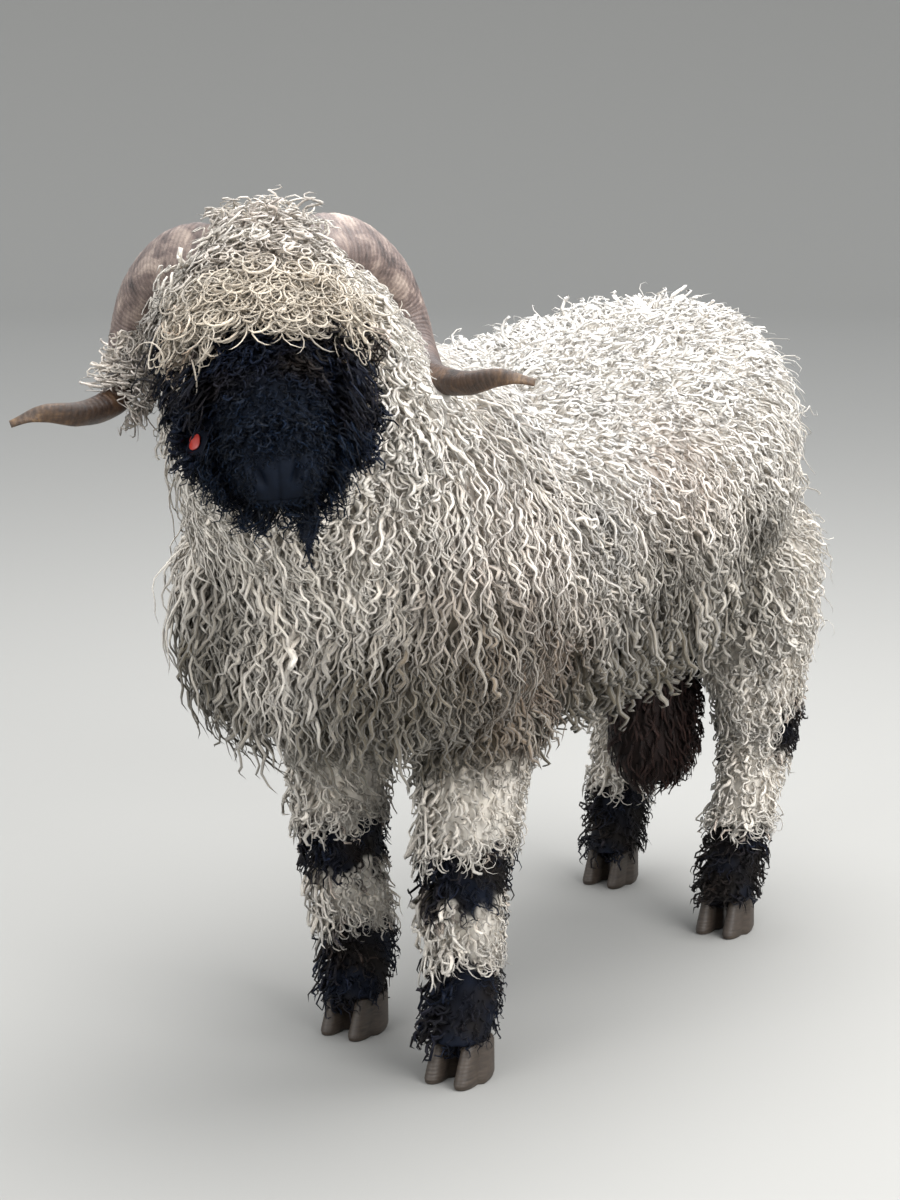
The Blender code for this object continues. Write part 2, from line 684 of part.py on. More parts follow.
def grow_wool(joined, rng):
    """All clumps of the coat, each rooted on the core of the piece that it grows from."""
    rooted = cores()
    trees = {name: bvh_of(closed_tube(rings)) for name, rings in rooted.items()}
    horns = [bvh_of(closed_tube(horn_rings(side, HORN_CLEAR, *HORN_SECTIONS))) for side in (1, -1)]
    facing = level_head().to_3x3() @ Vector((0, -1, 0))
    grow_forelock(joined, trees["skull"], rng)
    for name, rings in (*rooted.items(), ("ruff", rooted["neck"])):
        style = "leg" if name in FEET else name
        under = "neck" if name == "ruff" else name
        spacing, length, width, rise = CLUMPS[style]
        for point, normal in surface_spots(rings, spacing, rng):
            if any(inside(tree, point) for other, tree in trees.items() if other != under):
                continue
            if any(inside(horn, point + normal * HORN_CLEAR) for horn in horns):
                continue
            if under == "neck" and in_head(point) != (name == "ruff"):
                continue
            size = rng.uniform(*SIZE_SPREAD)
            curl = rng.uniform(-CURL_SPREAD, CURL_SPREAD)
            lie = hanging(normal, SWEEP.get(style, (0, 0, 0)))
            if name == "skull":
                if bare_face(point):
                    continue
                lie = hanging(normal, facing * 0.2)
            elif name in FEET and bare_leg(name, point, normal):
                continue
            elif name == "purse" and point.z > PURSE_BARE_ABOVE:
                continue
            below = max(0.0, -normal.z) if style in ("trunk", "neck") else 0.0
            fall = rise + BELLY_FALL * 0.5 * below
            clump(point, normal, lie, length * size * (1 - BELLY_SHORTER * below), width, fall, curl, joined)


def flesh_whole(parts):
    """Cores and clumps of all the soft parts, fused into one closed body."""
    joined = bpy.data.collections.new("to_join")
    bpy.context.scene.collection.children.link(joined)
    rooted = cores()
    for name, rings in rooted.items():
        if name != "trunk":
            new_object(name, closed_tube(rings), joined)
    for side in (1, -1):
        lid = ball((0, 0, 0), 1, 12, 8, matrix=lid_frame(side) @ Matrix.Diagonal((*LID_SIZE, 1)))
        new_object("lids", lid, joined)
    grow_wool(joined, random.Random(SEED))
    whole = new_object("whole", closed_tube(rooted["trunk"]), parts)
    boolean(whole, "UNION", joined)
    for obj in list(joined.objects):
        bpy.data.objects.remove(obj)
    bpy.data.collections.remove(joined)
    keep_largest(whole)
    thin = whole.modifiers.new("thin", "DECIMATE")
    thin.ratio = THINNING
    apply_modifiers(whole)
    keep_largest(whole)
    return whole


def mirrored(point, side):
    return Vector((point.x * side, point.y, point.z))


def lid_frame(side):
    """The frame of an eye: x along the face, y up the lids, z out of the eye."""
    look = mirrored(EYE_LOOK, side)
    along = (Vector((0, 1, 0)) - look * look.y).normalized()
    up = look.cross(along)
    turn = Matrix((along, up, look)).transposed().to_4x4()
    return head_frame() @ Matrix.Translation(mirrored(EYE_AT, side)) @ turn


def eye_mesh(side, grow):
    return ball((0, 0, 0), EYE_RADIUS + grow, 12, 8, matrix=lid_frame(side))


def lid_opening(side):
    """What is cut away in front of the eyeball: an almond between the lids."""
    before = Matrix.Translation((0, 0, EYE_RADIUS)) @ Matrix.Diagonal((*LID_OPENING, 1))
    return ball((0, 0, 0), 1, 12, 8, matrix=lid_frame(side) @ before)


def nostril(side):
    """A comma-shaped opening, steeper towards the middle."""
    turn = Matrix.Rotation(side * math.radians(35), 4, "Y") @ Matrix.Diagonal((*NOSTRIL_SIZE, 1))
    place = head_frame() @ Matrix.Translation(mirrored(NOSTRIL_AT, side))
    return ball((0, 0, 0), 1, 10, 6, matrix=place @ turn)


def lip_slot():
    """The line of the mouth: a thin tube bent round the front of the muzzle."""
    rings = []
    for turn in np.linspace(math.radians(-90), math.radians(90), 13):
        out = np.array((math.sin(turn), -math.cos(turn), 0))
        length = MOUTH_BACK - MOUTH_FRONT
        middle = np.array((0, MOUTH_BACK, MOUTH_Z)) + out * (MOUTH_HALF_WIDTH, length, 0)
        rings.append(ring(middle, out * LIP_SLOT[0], (0, 0, LIP_SLOT[1]), 6))
    return closed_tube(placed(np.array(rings), head_frame()))


def tag_frame():
    """The frame of the ear tag: its plate in x and y, z out of the cup of the right ear."""
    along, across, opens = ear_axes()
    width = EAR_HALF_WIDTH * (1 - 0.35 * TAG_SHARE ** 3)
    middle = EAR_ROOT + (EAR_TIP - EAR_ROOT) * TAG_SHARE - opens * width * 0.36
    flip = Vector((-1, -1, 1))
    columns = [Vector(a * b for a, b in zip(v, flip)) for v in (across, along, opens)]
    turn = Matrix(columns).transposed().to_4x4()
    return level_head() @ Matrix.Translation(Vector(a * b for a, b in zip(middle, flip))) @ turn


def tag_mesh(grow):
    """The plate before the ear, the stud through it and the button behind it, as one turned piece."""
    wide, tall, thick = TAG_PLATE
    button = wide * 0.8
    stud = TAG_STUD_RADIUS
    thick += grow
    rings = []
    for at, half_x, half_y, squareness in (
        (TAG_CLEAR + thick, wide, tall, 2.6),
        (TAG_CLEAR - thick, wide, tall, 2.6),
        (TAG_CLEAR - thick, stud, stud, 2.0),
        (-TAG_CLEAR + thick, stud, stud, 2.0),
        (-TAG_CLEAR + thick, button, button, 2.0),
        (-TAG_CLEAR - thick, button, button, 2.0),
    ):
        rings.append(ring((0, 0, at), (half_x + grow, 0, 0), (0, half_y + grow, 0), 12, squareness))
    return closed_tube(placed(np.array(rings), tag_frame()))


def zones():
    """The boxes that part the whole body: name to low corner, high corner and frame."""
    found = {
        "head": ((-0.5, -0.5, -HEAD_PARTING[1]), (0.5, HEAD_PARTING[0], 0.4), head_frame()),
    }
    half, low, high = TAIL_ZONE
    found["tail"] = ((-half, TAIL_PARTING, low), (half, 0.75, high), Matrix())
    right, left = PURSE_ZONE
    before_tail = TAIL_PARTING - 2 * GAP
    found["purse"] = ((right, 0.10, -0.05), (left, before_tail, LEG_PARTING), Matrix())
    neck_turn = Matrix.Translation(NECK_PARTING[0]) @ Matrix.Rotation(NECK_PARTING[1], 4, "X")
    found["neck"] = ((-0.6, -0.9, -0.3), (0.6, 0.0, 0.6), neck_turn)
    far = 0.30
    for name, (foot, _) in FEET.items():
        near = LEG_INNER[name]
        low, high = (near, far) if foot.x > 0 else (-far, -near)
        ahead, behind = (-0.47, -0.10) if name.startswith("front") else (0.05, 0.60)
        found[name] = ((low, ahead, -0.05), (high, behind, LEG_PARTING), Matrix())
    return found


def part_out(whole, name, keep, remove, parts):
    """A copy of the whole body, cut down to keep and cleared of each piece of remove."""
    obj = new_object(name, whole.data.copy(), parts)
    if keep is not None:
        boolean(obj, "INTERSECT", keep)
    for cutter in remove:
        boolean(obj, "DIFFERENCE", cutter)
    keep_largest(obj)
    return obj


def hard_parts(parts, cutters):
    """Horns, eyes, ears and tag. It returns the cutters that clear the flesh round each."""
    clear = {}
    for word, side in (("left", 1), ("right", -1)):
        new_object(f"horn_{word}", closed_tube(horn_rings(side, 0, *HORN_SECTIONS)), parts)
        clear[f"horn_{word}"] = helper(closed_tube(horn_rings(side, 2 * GAP, *HORN_SECTIONS)), cutters)
        new_object(f"eye_{word}", eye_mesh(side, 0), parts)
        clear[f"eye_{word}"] = helper(eye_mesh(side, 1.5 * GAP), cutters)
        clear[f"opening_{word}"] = helper(lid_opening(side), cutters)
        clear[f"nostril_{word}"] = helper(nostril(side), cutters)
        ear = new_object(f"ear_{word}", closed_tube(ear_rings(side, 0, *EAR_SECTIONS)), parts)
        clear[ear.name] = helper(closed_tube(ear_rings(side, 2 * GAP, *EAR_SECTIONS)), cutters)
        boolean(ear, "DIFFERENCE", clear[f"horn_{word}"])
        if side < 0:
            new_object("ear_tag", tag_mesh(0), parts)
            clear["ear_tag"] = helper(tag_mesh(1.5 * GAP), cutters)
            boolean(ear, "DIFFERENCE", clear["ear_tag"])
        keep_largest(ear)
    clear["lips"] = helper(lip_slot(), cutters)
    return clear


def flesh_parts(whole, clear, under, parts, cutters):
    """Parts the whole body into its named pieces."""
    areas = zones()
    kept = {name: box(*area, cutters) for name, area in areas.items()}
    cleared = {name: box(*area, cutters, grow=GAP) for name, area in areas.items()}
    legs = list(FEET)
    crossed = {
        "torso": ["head", "neck", "tail", "purse", *legs],
        "neck": ["head", "front_left", "front_right"],
        "purse": legs,
    }
    for area in ("torso", "neck", "head", "tail", "purse", *legs):
        name = {"purse": "scrotum"}.get(area, f"leg_{area}" if area in FEET else area)
        cut_with = [cleared[other] for other in crossed.get(area, [])]
        if area == "head":
            cut_with += list(clear.values())
        elif area in ("neck", "torso"):
            cut_with += [cutter for key, cutter in clear.items() if key.startswith(("horn", "ear"))]
        elif area in under:
            cut_with.append(under[area])
        part_out(whole, name, kept.get(area), cut_with, parts)


def claws(parts, cutters):
    """Two claws on each foot. It returns, by leg, what clears the wool round them."""
    clear = {}
    for name, (foot, _) in FEET.items():
        outwards = math.copysign(1, foot.x)
        for word, side in (("inner", -1), ("outer", 1)):
            shift = np.array((foot.x + outwards * side * (CLAW_WIDTH / 2 + CLAW_SPLIT), foot.y, 0))
            new_object(f"claw_{name}_{word}", closed_tube(claw_rings() + shift), parts)
        reach = Vector((CLAW_WIDTH + CLAW_SPLIT, CLAW_LENGTH / 2 + 0.012, 0))
        high = foot + reach + Vector((GAP, 0, CLAW_HEIGHT + 0.0005))
        low = foot - reach - Vector((GAP, 0, 0.05))
        clear[name] = box(low, high, Matrix(), cutters)
    return clear


def main():
    clear_scene()
    finishes = make_finishes()
    parts = bpy.data.collections.new("valais_blacknose_ram")
    cutters = bpy.data.collections.new("cutters")
    for collection in (parts, cutters):
        bpy.context.scene.collection.children.link(collection)
    whole = flesh_whole(parts)
    clear = hard_parts(parts, cutters)
    under = claws(parts, cutters)
    flesh_parts(whole, clear, under, parts, cutters)
    bpy.data.objects.remove(whole)
    for obj in parts.objects:
        obj.data.transform(Matrix.Translation((-ORIGIN[0], -ORIGIN[1], 0)))
        obj.data.materials.clear()
        by_word = FINISH_OF.get(obj.name.split("_")[0], "fleece")
        obj.data.materials.append(finishes[FINISH_OF.get(obj.name, by_word)])
        obj.data.shade_smooth()
        obj.data.set_sharp_from_angle(angle=math.radians(50))


main()
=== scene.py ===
"""Looks of a life-size Valais Blacknose ram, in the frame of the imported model.

One skin stands for the soft nodes. Wool grows on it as solid curled locks, and horns, claws, ears,
eyes and ear tag are pieces of their own. Shapes are worked out in the layout of the part's source,
where the middle of the trunk is over x = y = 0, and moved by SHIFT when a mesh is made.
"""

import math

import bmesh
import bpy
import numpy as np
from mathutils import Matrix, Vector


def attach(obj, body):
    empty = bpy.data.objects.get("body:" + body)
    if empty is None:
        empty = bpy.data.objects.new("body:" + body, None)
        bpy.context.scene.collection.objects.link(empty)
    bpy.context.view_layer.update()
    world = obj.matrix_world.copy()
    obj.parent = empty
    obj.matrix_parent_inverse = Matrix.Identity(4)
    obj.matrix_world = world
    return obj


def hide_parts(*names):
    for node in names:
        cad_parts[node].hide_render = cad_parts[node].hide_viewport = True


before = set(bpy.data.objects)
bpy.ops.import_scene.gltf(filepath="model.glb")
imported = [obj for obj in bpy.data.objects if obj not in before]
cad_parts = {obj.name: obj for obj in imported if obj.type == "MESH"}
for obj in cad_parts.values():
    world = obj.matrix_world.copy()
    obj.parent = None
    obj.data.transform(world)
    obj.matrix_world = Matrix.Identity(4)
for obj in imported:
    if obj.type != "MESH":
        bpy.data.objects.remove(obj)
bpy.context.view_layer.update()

SHIFT = np.array((0.002, 0.130, 0.0))
SEED = 23

# Named sizes of the body, as in the part's source

# Trunk under its fleece: distance behind the middle, height of back, height of belly, half width.
TRUNK = (
    (-0.475, 0.605, 0.490, 0.060),
    (-0.450, 0.672, 0.448, 0.132),
    (-0.385, 0.712, 0.442, 0.172),
    (-0.280, 0.738, 0.446, 0.180),
    (-0.120, 0.744, 0.452, 0.188),
    (0.050, 0.754, 0.462, 0.192),
    (0.180, 0.767, 0.478, 0.176),
    (0.290, 0.769, 0.492, 0.140),
    (0.370, 0.744, 0.515, 0.092),
    (0.412, 0.696, 0.545, 0.056),
    (0.430, 0.655, 0.580, 0.024),
)

# Neck: top line and throat line as (distance behind the middle, height), and half width.
NECK = (
    ((-0.230, 0.735), (-0.400, 0.440), 0.178),
    ((-0.360, 0.765), (-0.460, 0.500), 0.158),
    ((-0.455, 0.830), (-0.515, 0.590), 0.124),
    ((-0.520, 0.895), (-0.570, 0.670), 0.096),
    ((-0.560, 0.930), (-0.622, 0.735), 0.074),
)

POLL = Vector((0.005, -0.600, 0.918))
HEAD_YAW = math.radians(35.0)
HEAD_PITCH = math.radians(40.0)
HEAD_ROLL = math.radians(4.1)
# Skull under its wool, nose to -Y: distance ahead of the poll, top, underside, half width.
SKULL = (
    (0.040, -0.005, -0.070, 0.030),
    (0.020, 0.022, -0.100, 0.055),
    (-0.020, 0.036, -0.124, 0.068),
    (-0.060, 0.035, -0.136, 0.071),
    (-0.100, 0.028, -0.130, 0.066),
    (-0.140, 0.021, -0.114, 0.055),
    (-0.180, 0.011, -0.100, 0.048),
    (-0.213, -0.004, -0.093, 0.046),
    (-0.240, -0.022, -0.088, 0.041),
    (-0.254, -0.044, -0.074, 0.024),
)
HEAD_PARTING = (0.034, 0.172)
EYE_RADIUS = 0.0145
EYE_AT = Vector((0.0455, -0.100, -0.004))
EYE_LOOK = Vector((0.86, -0.46, 0.20)).normalized()
LID_OPENING = (0.0125, 0.0066)
PUPIL = (0.0062, 0.0024)
IRIS_RIM = (0.0092, 0.0108)
MOUTH_Z = -0.0710

# Left horn in the level head's frame: outwards, forwards and up from the poll, and half thickness.
HORN_LINE = (
    (0.028, 0.000, -0.016, 0.0330),
    (0.056, -0.020, 0.006, 0.0345),
    (0.092, -0.056, 0.001, 0.0335),
    (0.124, -0.090, -0.028, 0.0310),
    (0.142, -0.106, -0.068, 0.0290),
    (0.151, -0.092, -0.106, 0.0265),
    (0.164, -0.050, -0.131, 0.0205),
    (0.192, -0.008, -0.135, 0.0135),
    (0.228, 0.012, -0.129, 0.0090),
    (0.262, 0.018, -0.137, 0.0040),
)
HORN_FLATNESS = 0.74
HORN_CURL_CENTRE = np.array((0.098, -0.040, -0.066))
# Growth rings, fine and coarse: distance apart, and depth and keel as shares of the half thickness.
HORN_RINGS = (0.0052, 0.017)
HORN_RING_DEPTH = 0.016
HORN_KEEL = 0.08

EAR_ROOT = np.array((0.072, 0.004, -0.056))
EAR_TIP = np.array((0.082, 0.112, -0.184))
EAR_HALF_WIDTH = 0.027
EAR_THICKNESS = 0.007
EAR_CUP = 0.62
EAR_OPENS_TO = np.array((0.55, 0.80, 0.30))
TAG_SHARE = 0.80
TAG_PLATE = (0.0065, 0.0085, 0.0010)
TAG_STUD_RADIUS = 0.0025
TAG_CLEAR = 0.0060
TAG_EDGE = 0.0008

# Legs under their wool: height, how far back from the foot, half width, half depth.
FORE_LEG = (
    (0.530, 0.060, 0.050, 0.080),
    (0.450, 0.048, 0.048, 0.068),
    (0.380, 0.034, 0.042, 0.052),
    (0.300, 0.024, 0.034, 0.040),
    (0.235, 0.016, 0.030, 0.033),
    (0.200, 0.014, 0.029, 0.032),
    (0.140, 0.020, 0.023, 0.025),
    (0.092, 0.020, 0.027, 0.029),
    (0.060, 0.009, 0.026, 0.028),
    (0.0465, 0.003, 0.028, 0.031),
)
HIND_LEG = (
    (0.620, 0.006, 0.050, 0.104),
    (0.520, 0.008, 0.056, 0.098),
    (0.430, 0.020, 0.054, 0.084),
    (0.350, 0.045, 0.045, 0.062),
    (0.290, 0.068, 0.036, 0.047),
    (0.245, 0.077, 0.031, 0.040),
    (0.170, 0.054, 0.024, 0.028),
    (0.092, 0.026, 0.028, 0.030),
    (0.060, 0.012, 0.027, 0.029),
    (0.0465, 0.004, 0.029, 0.032),
)
LEG_SPLAY = 0.012
FEET = {
    "front_left": ((0.091, -0.364), 0.000),
    "front_right": ((-0.092, -0.299), -0.060),
    "hind_left": ((0.120, 0.259), 0.030),
    "hind_right": ((-0.108, 0.370), -0.080),
}
CLAW_LENGTH = 0.074
CLAW_WIDTH = 0.031
CLAW_HEIGHT = 0.046
CLAW_SPLIT = 0.0035
# Claw's wall: place from sole to coronet, share of the full size, height.
CLAW_WALL = (
    (0.00, 0.88, 0.0000),
    (0.04, 0.95, 0.0015),
    (0.16, 1.00, 0.0060),
    (0.90, 0.81, 0.0420),
    (1.00, 0.72, CLAW_HEIGHT),
)
CLAW_RIDGE = 0.0040
CLAW_LEAN = 0.010 / CLAW_HEIGHT

# Purse: height, half width, half depth.
PURSE = (
    (0.450, 0.034, 0.050),
    (0.400, 0.036, 0.052),
    (0.340, 0.042, 0.060),
    (0.280, 0.047, 0.066),
    (0.225, 0.043, 0.060),
    (0.190, 0.026, 0.038),
)
PURSE_AT = (0.008, 0.270)
TAIL_ROOT = (0, 0.394, 0.690)
TAIL_TIP = (0, 0.458, 0.400)
TAIL_RADIUS = 0.028

# Camera, floor and light

CAMERA_AT = (1.552, -2.649, 1.12)
CAMERA_TURN = math.atan2(0.52, 0.854)
CAMERA_DIP = math.radians(11.5)
CAMERA_LENS = 80.13
FILM_WIDTH = 36.0

# Patterns: grains to a metre. Fibres are counted across half of a lock, and the horn's grooves come
# 6.04 mm apart, because the wave pattern has 20 radians to each step of its scale.
UNDERWOOL_CLUMPS = 120.0
SHORT_HAIRS = 420.0
FIBRES = 3.6
HORN_FLAKES = 24.0
HORN_GROOVES = 52.0
HOOF_STREAKS = 60.0
HOOF_RIDGES = 420.0
TAG_SCUFFS = 300.0
MULTIPLY = {"data_type": "RGBA", "blend_type": "MULTIPLY"}
BLEND = {"data_type": "RGBA"}

FLOOR_FLAT = 9.0
FLOOR_BEND = 3.0
FLOOR_WALL = 0.2
LIGHT_AIM = Vector((0, 0, 0.6))
# Soft boxes: place, width in metres and power in watts.
SOFT_BOXES = (
    ("soft_box_above", (0.4, 0.7, 3.6), 3.2, 232.0),
    ("soft_box_side", (3.9, -1.2, 2.4), 2.6, 190.0),
    ("soft_box_front", (-0.9, -4.2, 2.2), 2.4, 80.0),
)


def set_camera():
    """The photo's view: a long lens from the ram's left front, a little above its back."""
    data = bpy.data.cameras.new("camera")
    data.lens = CAMERA_LENS
    data.sensor_width = FILM_WIDTH
    data.sensor_fit = "AUTO"
    camera = bpy.data.objects.new("camera", data)
    camera.location = CAMERA_AT
    camera.rotation_euler = (math.pi / 2 - CAMERA_DIP, 0, CAMERA_TURN)
    bpy.context.scene.collection.objects.link(camera)
    bpy.context.scene.camera = camera


def linear(code):
    """An sRGB hex colour as the linear numbers that the shaders take."""
    values = np.array([int(code[k:k + 2], 16) for k in (1, 3, 5)]) / 255
    return np.where(values <= 0.04045, values / 12.92, ((values + 0.055) / 1.055) ** 2.4)


def rgba(code):
    """The same with full opacity."""
    return (*linear(code), 1.0)


def add(tree, kind, settings=None, **links):
    """One shader node with its settings. Each keyword is a socket, by its name or as i and its number:
    a link, or a value set on it."""
    node = tree.nodes.new(f"ShaderNode{kind}")
    for key, value in (settings or {}).items():
        setattr(node, key, value)
    for key, value in links.items():
        name = key.replace("_", " ")
        socket = node.inputs[int(name[1:])] if name[1:].isdigit() else node.inputs[name]
        if isinstance(value, bpy.types.NodeSocket):
            tree.links.new(value, socket)
        else:
            socket.default_value = value
    return node


def new_material(name):
    """An empty material: its tree and its Principled shader."""
    material = bpy.data.materials.new(name)
    material.use_nodes = True
    tree = material.node_tree
    return material, tree, tree.nodes["Principled BSDF"]


def make_floor():
    """A round floor in matt pale paint: flat to FLOOR_FLAT, then a quarter circle of FLOOR_BEND up to
    a low wall, so that no edge crosses the view."""
    bend = np.linspace(0, math.pi / 2, 16)
    far = np.concatenate([[0, 1, 3], FLOOR_FLAT + FLOOR_BEND * np.sin(bend), [FLOOR_FLAT + FLOOR_BEND]])
    high = np.concatenate([[0, 0, 0], FLOOR_BEND * (1 - np.cos(bend)), [FLOOR_BEND + FLOOR_WALL]])
    rings = sections(columns(0, 0, high), columns(far, 0, 0), columns(0, far, 0), 96)
    material, _, shader = new_material("matt_floor_paint")
    shader.inputs["Base Color"].default_value = rgba("#8e8d8a")
    shader.inputs["Roughness"].default_value = 0.95
    count, sides = rings.shape[:2]
    here = np.arange(sides) + np.arange(count - 1)[:, None] * sides
    after = (np.arange(sides) + 1) % sides + np.arange(count - 1)[:, None] * sides
    faces = np.stack([here, here + sides, after + sides, after], axis=-1).reshape(-1, 4)
    floor = new_piece("floor", rings.reshape(-1, 3) - SHIFT, faces, material)


def set_light():
    """An even pale sky all round, and three soft boxes that look at the middle of the trunk."""
    world = bpy.data.worlds.new("studio")
    world.use_nodes = True
    sky = world.node_tree.nodes["Background"]
    sky.inputs["Color"].default_value = rgba("#eef1f4")
    sky.inputs["Strength"].default_value = 1.45
    bpy.context.scene.world = world
    bpy.context.scene.view_settings.view_transform = "Standard"
    for name, at, width, power in SOFT_BOXES:
        data = bpy.data.lights.new(name, "AREA")
        data.energy = power
        data.size = width
        lamp = bpy.data.objects.new(name, data)
        lamp.location = at
        lamp.rotation_euler = (LIGHT_AIM - Vector(at)).to_track_quat("-Z", "Y").to_euler()
        bpy.context.scene.collection.objects.link(lamp)


# Surfaces from named sizes

def smooth_rows(rows, count):
    """Rows of numbers read at count even steps: cubic Catmull-Rom pieces through every row."""
    rows = np.array(rows, float)
    at = np.linspace(0, len(rows) - 1, count)
    i = np.clip(at.astype(int), 0, len(rows) - 2)
    f = (at - i)[:, None]
    ends = np.vstack([2 * rows[0] - rows[1], rows, 2 * rows[-1] - rows[-2]])
    a, b, c, d = ends[i], ends[i + 1], ends[i + 2], ends[i + 3]
    return b + 0.5 * f * (c - a + f * (2 * a - 5 * b + 4 * c - d + f * (3 * b - a - 3 * c + d)))


def sections(middle, side, up, sides, squareness=2.0):
    """Superellipses: middle + side * cos^(2/s) + up * sin^(2/s), one for each row of the arrays."""
    turn = np.linspace(0, 2 * math.pi, sides, endpoint=False)
    across = np.sign(np.cos(turn)) * np.abs(np.cos(turn)) ** (2 / squareness)
    above = np.sign(np.sin(turn)) * np.abs(np.sin(turn)) ** (2 / squareness)
    return middle[:, None] + across[None, :, None] * side[:, None] + above[None, :, None] * up[:, None]


def columns(*parts):
    """Equal long columns as points; a plain number stands for a whole column."""
    count = max(np.size(p) for p in parts)
    return np.stack([np.broadcast_to(np.asarray(p, float), (count,)) for p in parts], axis=1)


def trunk_rings(grow, count, sides):
    """Trunk: an upright superellipse between the back line and the belly line at each distance."""
    back, top, belly, half = smooth_rows(TRUNK, count).T
    stretch = 1 + 1.1 * grow / TRUNK[-1][0]
    middle = columns(0, back * stretch, (top + belly) / 2 - 0.1 * grow)
    high = (top - belly) / 2 + 0.95 * grow
    return sections(middle, columns(half + grow, 0, 0), columns(0, 0, high), sides, 2.25)


def neck_rings(grow, count, sides):
    """Neck: ellipses spanned from the top line to the throat line."""
    top_y, top_z, low_y, low_z, half = smooth_rows([(*a, *b, c) for a, b, c in NECK], count).T
    rise = columns(0, top_y - low_y, top_z - low_z) / 2
    rise *= 1 + grow / np.linalg.norm(rise, axis=1, keepdims=True)
    middle = columns(0, (top_y + low_y) / 2, (top_z + low_z) / 2)
    return sections(middle, columns(half + grow, 0, 0), rise, sides)


def level_head():
    """The head's place and turn without its nod: what horns and ears are measured in."""
    turn = Matrix.Rotation(HEAD_YAW, 4, "Z") @ Matrix.Rotation(-HEAD_ROLL, 4, "Y")
    return np.array(Matrix.Translation(POLL) @ turn)


def head_frame():
    """The head's own frame, nose to -Y, after its turn and its nod."""
    return level_head() @ np.array(Matrix.Rotation(HEAD_PITCH, 4, "X"))


def placed(points, matrix):
    """Points of a frame in the layout."""
    return points @ matrix[:3, :3].T + matrix[:3, 3]


def unplaced(points, matrix):
    """Points as seen from a frame: the turn of an orthonormal frame undone."""
    return (points - matrix[:3, 3]) @ matrix[:3, :3]


def in_head(points):
    """Points as the nodding head sees them, nose to -Y."""
    return unplaced(points, head_frame())


def skull_rings(grow, count, sides):
    """Skull: superellipses between brow line and jaw line. The coat thins out over the muzzle."""
    ahead, top, low, half = smooth_rows(SKULL, count).T
    thick = grow * np.clip((ahead + 0.235) / 0.09, 0, 1)
    middle = columns(0, ahead, (top + low) / 2)
    high = (top - low) / 2 + thick
    rings = sections(middle, columns(half + thick, 0, 0), columns(0, 0, high), sides, 2.2)
    return placed(rings, head_frame())


def leg_rings(name, grow, count, sides):
    """Leg: level ellipses whose middles lean out and back with height."""
    (foot_x, foot_y), ahead = FEET[name]
    leg = FORE_LEG if name.startswith("front") else HIND_LEG
    height, back, half, deep = smooth_rows(leg, count).T
    high = np.clip((height - 0.10) / 0.40, 0, 1)
    splay = math.copysign(LEG_SPLAY, foot_x)
    middle = columns(foot_x + splay * high, foot_y + back + ahead * high, height)
    thick = grow * (0.45 + 0.55 * np.minimum(1, height / 0.40))
    return sections(middle, columns(half + thick, 0, 0), columns(0, deep + thick, 0), sides)


def purse_rings(grow, count, sides):
    """Purse: level ellipses."""
    height, half, deep = smooth_rows(PURSE, count).T
    middle = columns(*PURSE_AT, height)
    return sections(middle, columns(half + grow, 0, 0), columns(0, deep + grow, 0), sides)


def tail_rings(grow, count, sides):
    """Tail: ellipses along an arc that leaves the rump backwards and then hangs."""
    t = np.linspace(0, 1, count)
    arc = np.sin(t * math.pi / 2) ** 0.6
    middle = columns(0, TAIL_ROOT[1] + (TAIL_TIP[1] - TAIL_ROOT[1]) * arc,
                     TAIL_ROOT[2] + (TAIL_TIP[2] - TAIL_ROOT[2]) * t)
    thick = TAIL_RADIUS * (1.1 - 0.55 * t ** 3) + grow
    return sections(middle, columns(thick, 0, 0), columns(0, thick * 0.75, thick * 0.30), sides)


def tube_faces(count, sides, first=0):
    """Triangles of a tube of rings. Two more points after the rings close its ends."""
    ring, side = np.meshgrid(np.arange(count - 1), np.arange(sides), indexing="ij")
    a = (ring * sides + side).ravel()
    b = (ring * sides + (side + 1) % sides).ravel()
    s = np.arange(sides)
    start, end, last = count * sides, count * sides + 1, (count - 1) * sides
    return first + np.vstack([
        np.stack([a, b, b + sides], axis=1),
        np.stack([a, b + sides, a + sides], axis=1),
        np.stack([np.full(sides, start), (s + 1) % sides, s], axis=1),
        np.stack([np.full(sides, end), last + s, last + (s + 1) % sides], axis=1),
    ])


def tube(rings):
    """Points and triangles of a closed tube, its ends closed to the middles of its end rings."""
    count, sides = rings.shape[:2]
    points = np.vstack([rings.reshape(-1, 3), rings[0].mean(axis=0), rings[-1].mean(axis=0)])
    faces = tube_faces(count, sides)
    a, b, c = (points[faces[:, k]] for k in range(3))
    if np.einsum("ij,ij->", a, np.cross(b, c)) < 0:
        faces = faces[:, ::-1]
    return points, faces


def joined(*shapes):
    """Several shapes of points and triangles as one."""
    starts = np.cumsum([0] + [len(points) for points, _ in shapes[:-1]])
    return np.vstack([p for p, _ in shapes]), np.vstack([f + n for (_, f), n in zip(shapes, starts)])


def new_piece(name, points, faces, material):
    """A smooth mesh object at the origin, from layout points and an array of equal faces."""
    mesh = bpy.data.meshes.new(name)
    corners = faces.shape[1]
    mesh.vertices.add(len(points))
    mesh.vertices.foreach_set("co", (points + SHIFT).astype(np.float32).ravel())
    mesh.loops.add(faces.size)
    mesh.loops.foreach_set("vertex_index", faces.astype(np.int32).ravel())
    mesh.polygons.add(len(faces))
    mesh.polygons.foreach_set("loop_start", np.arange(0, faces.size, corners, dtype=np.int32))
    mesh.update(calc_edges=True)
    mesh.shade_smooth()
    obj = bpy.data.objects.new(name, mesh)
    bpy.context.scene.collection.objects.link(obj)
    mesh.materials.append(material)
    return obj


def settle(obj, slot, *nodes):
    """The piece rides on the still body and stands for its nodes. The argument slot is not used."""
    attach(obj, "root")
    if nodes:
        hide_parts(*nodes)


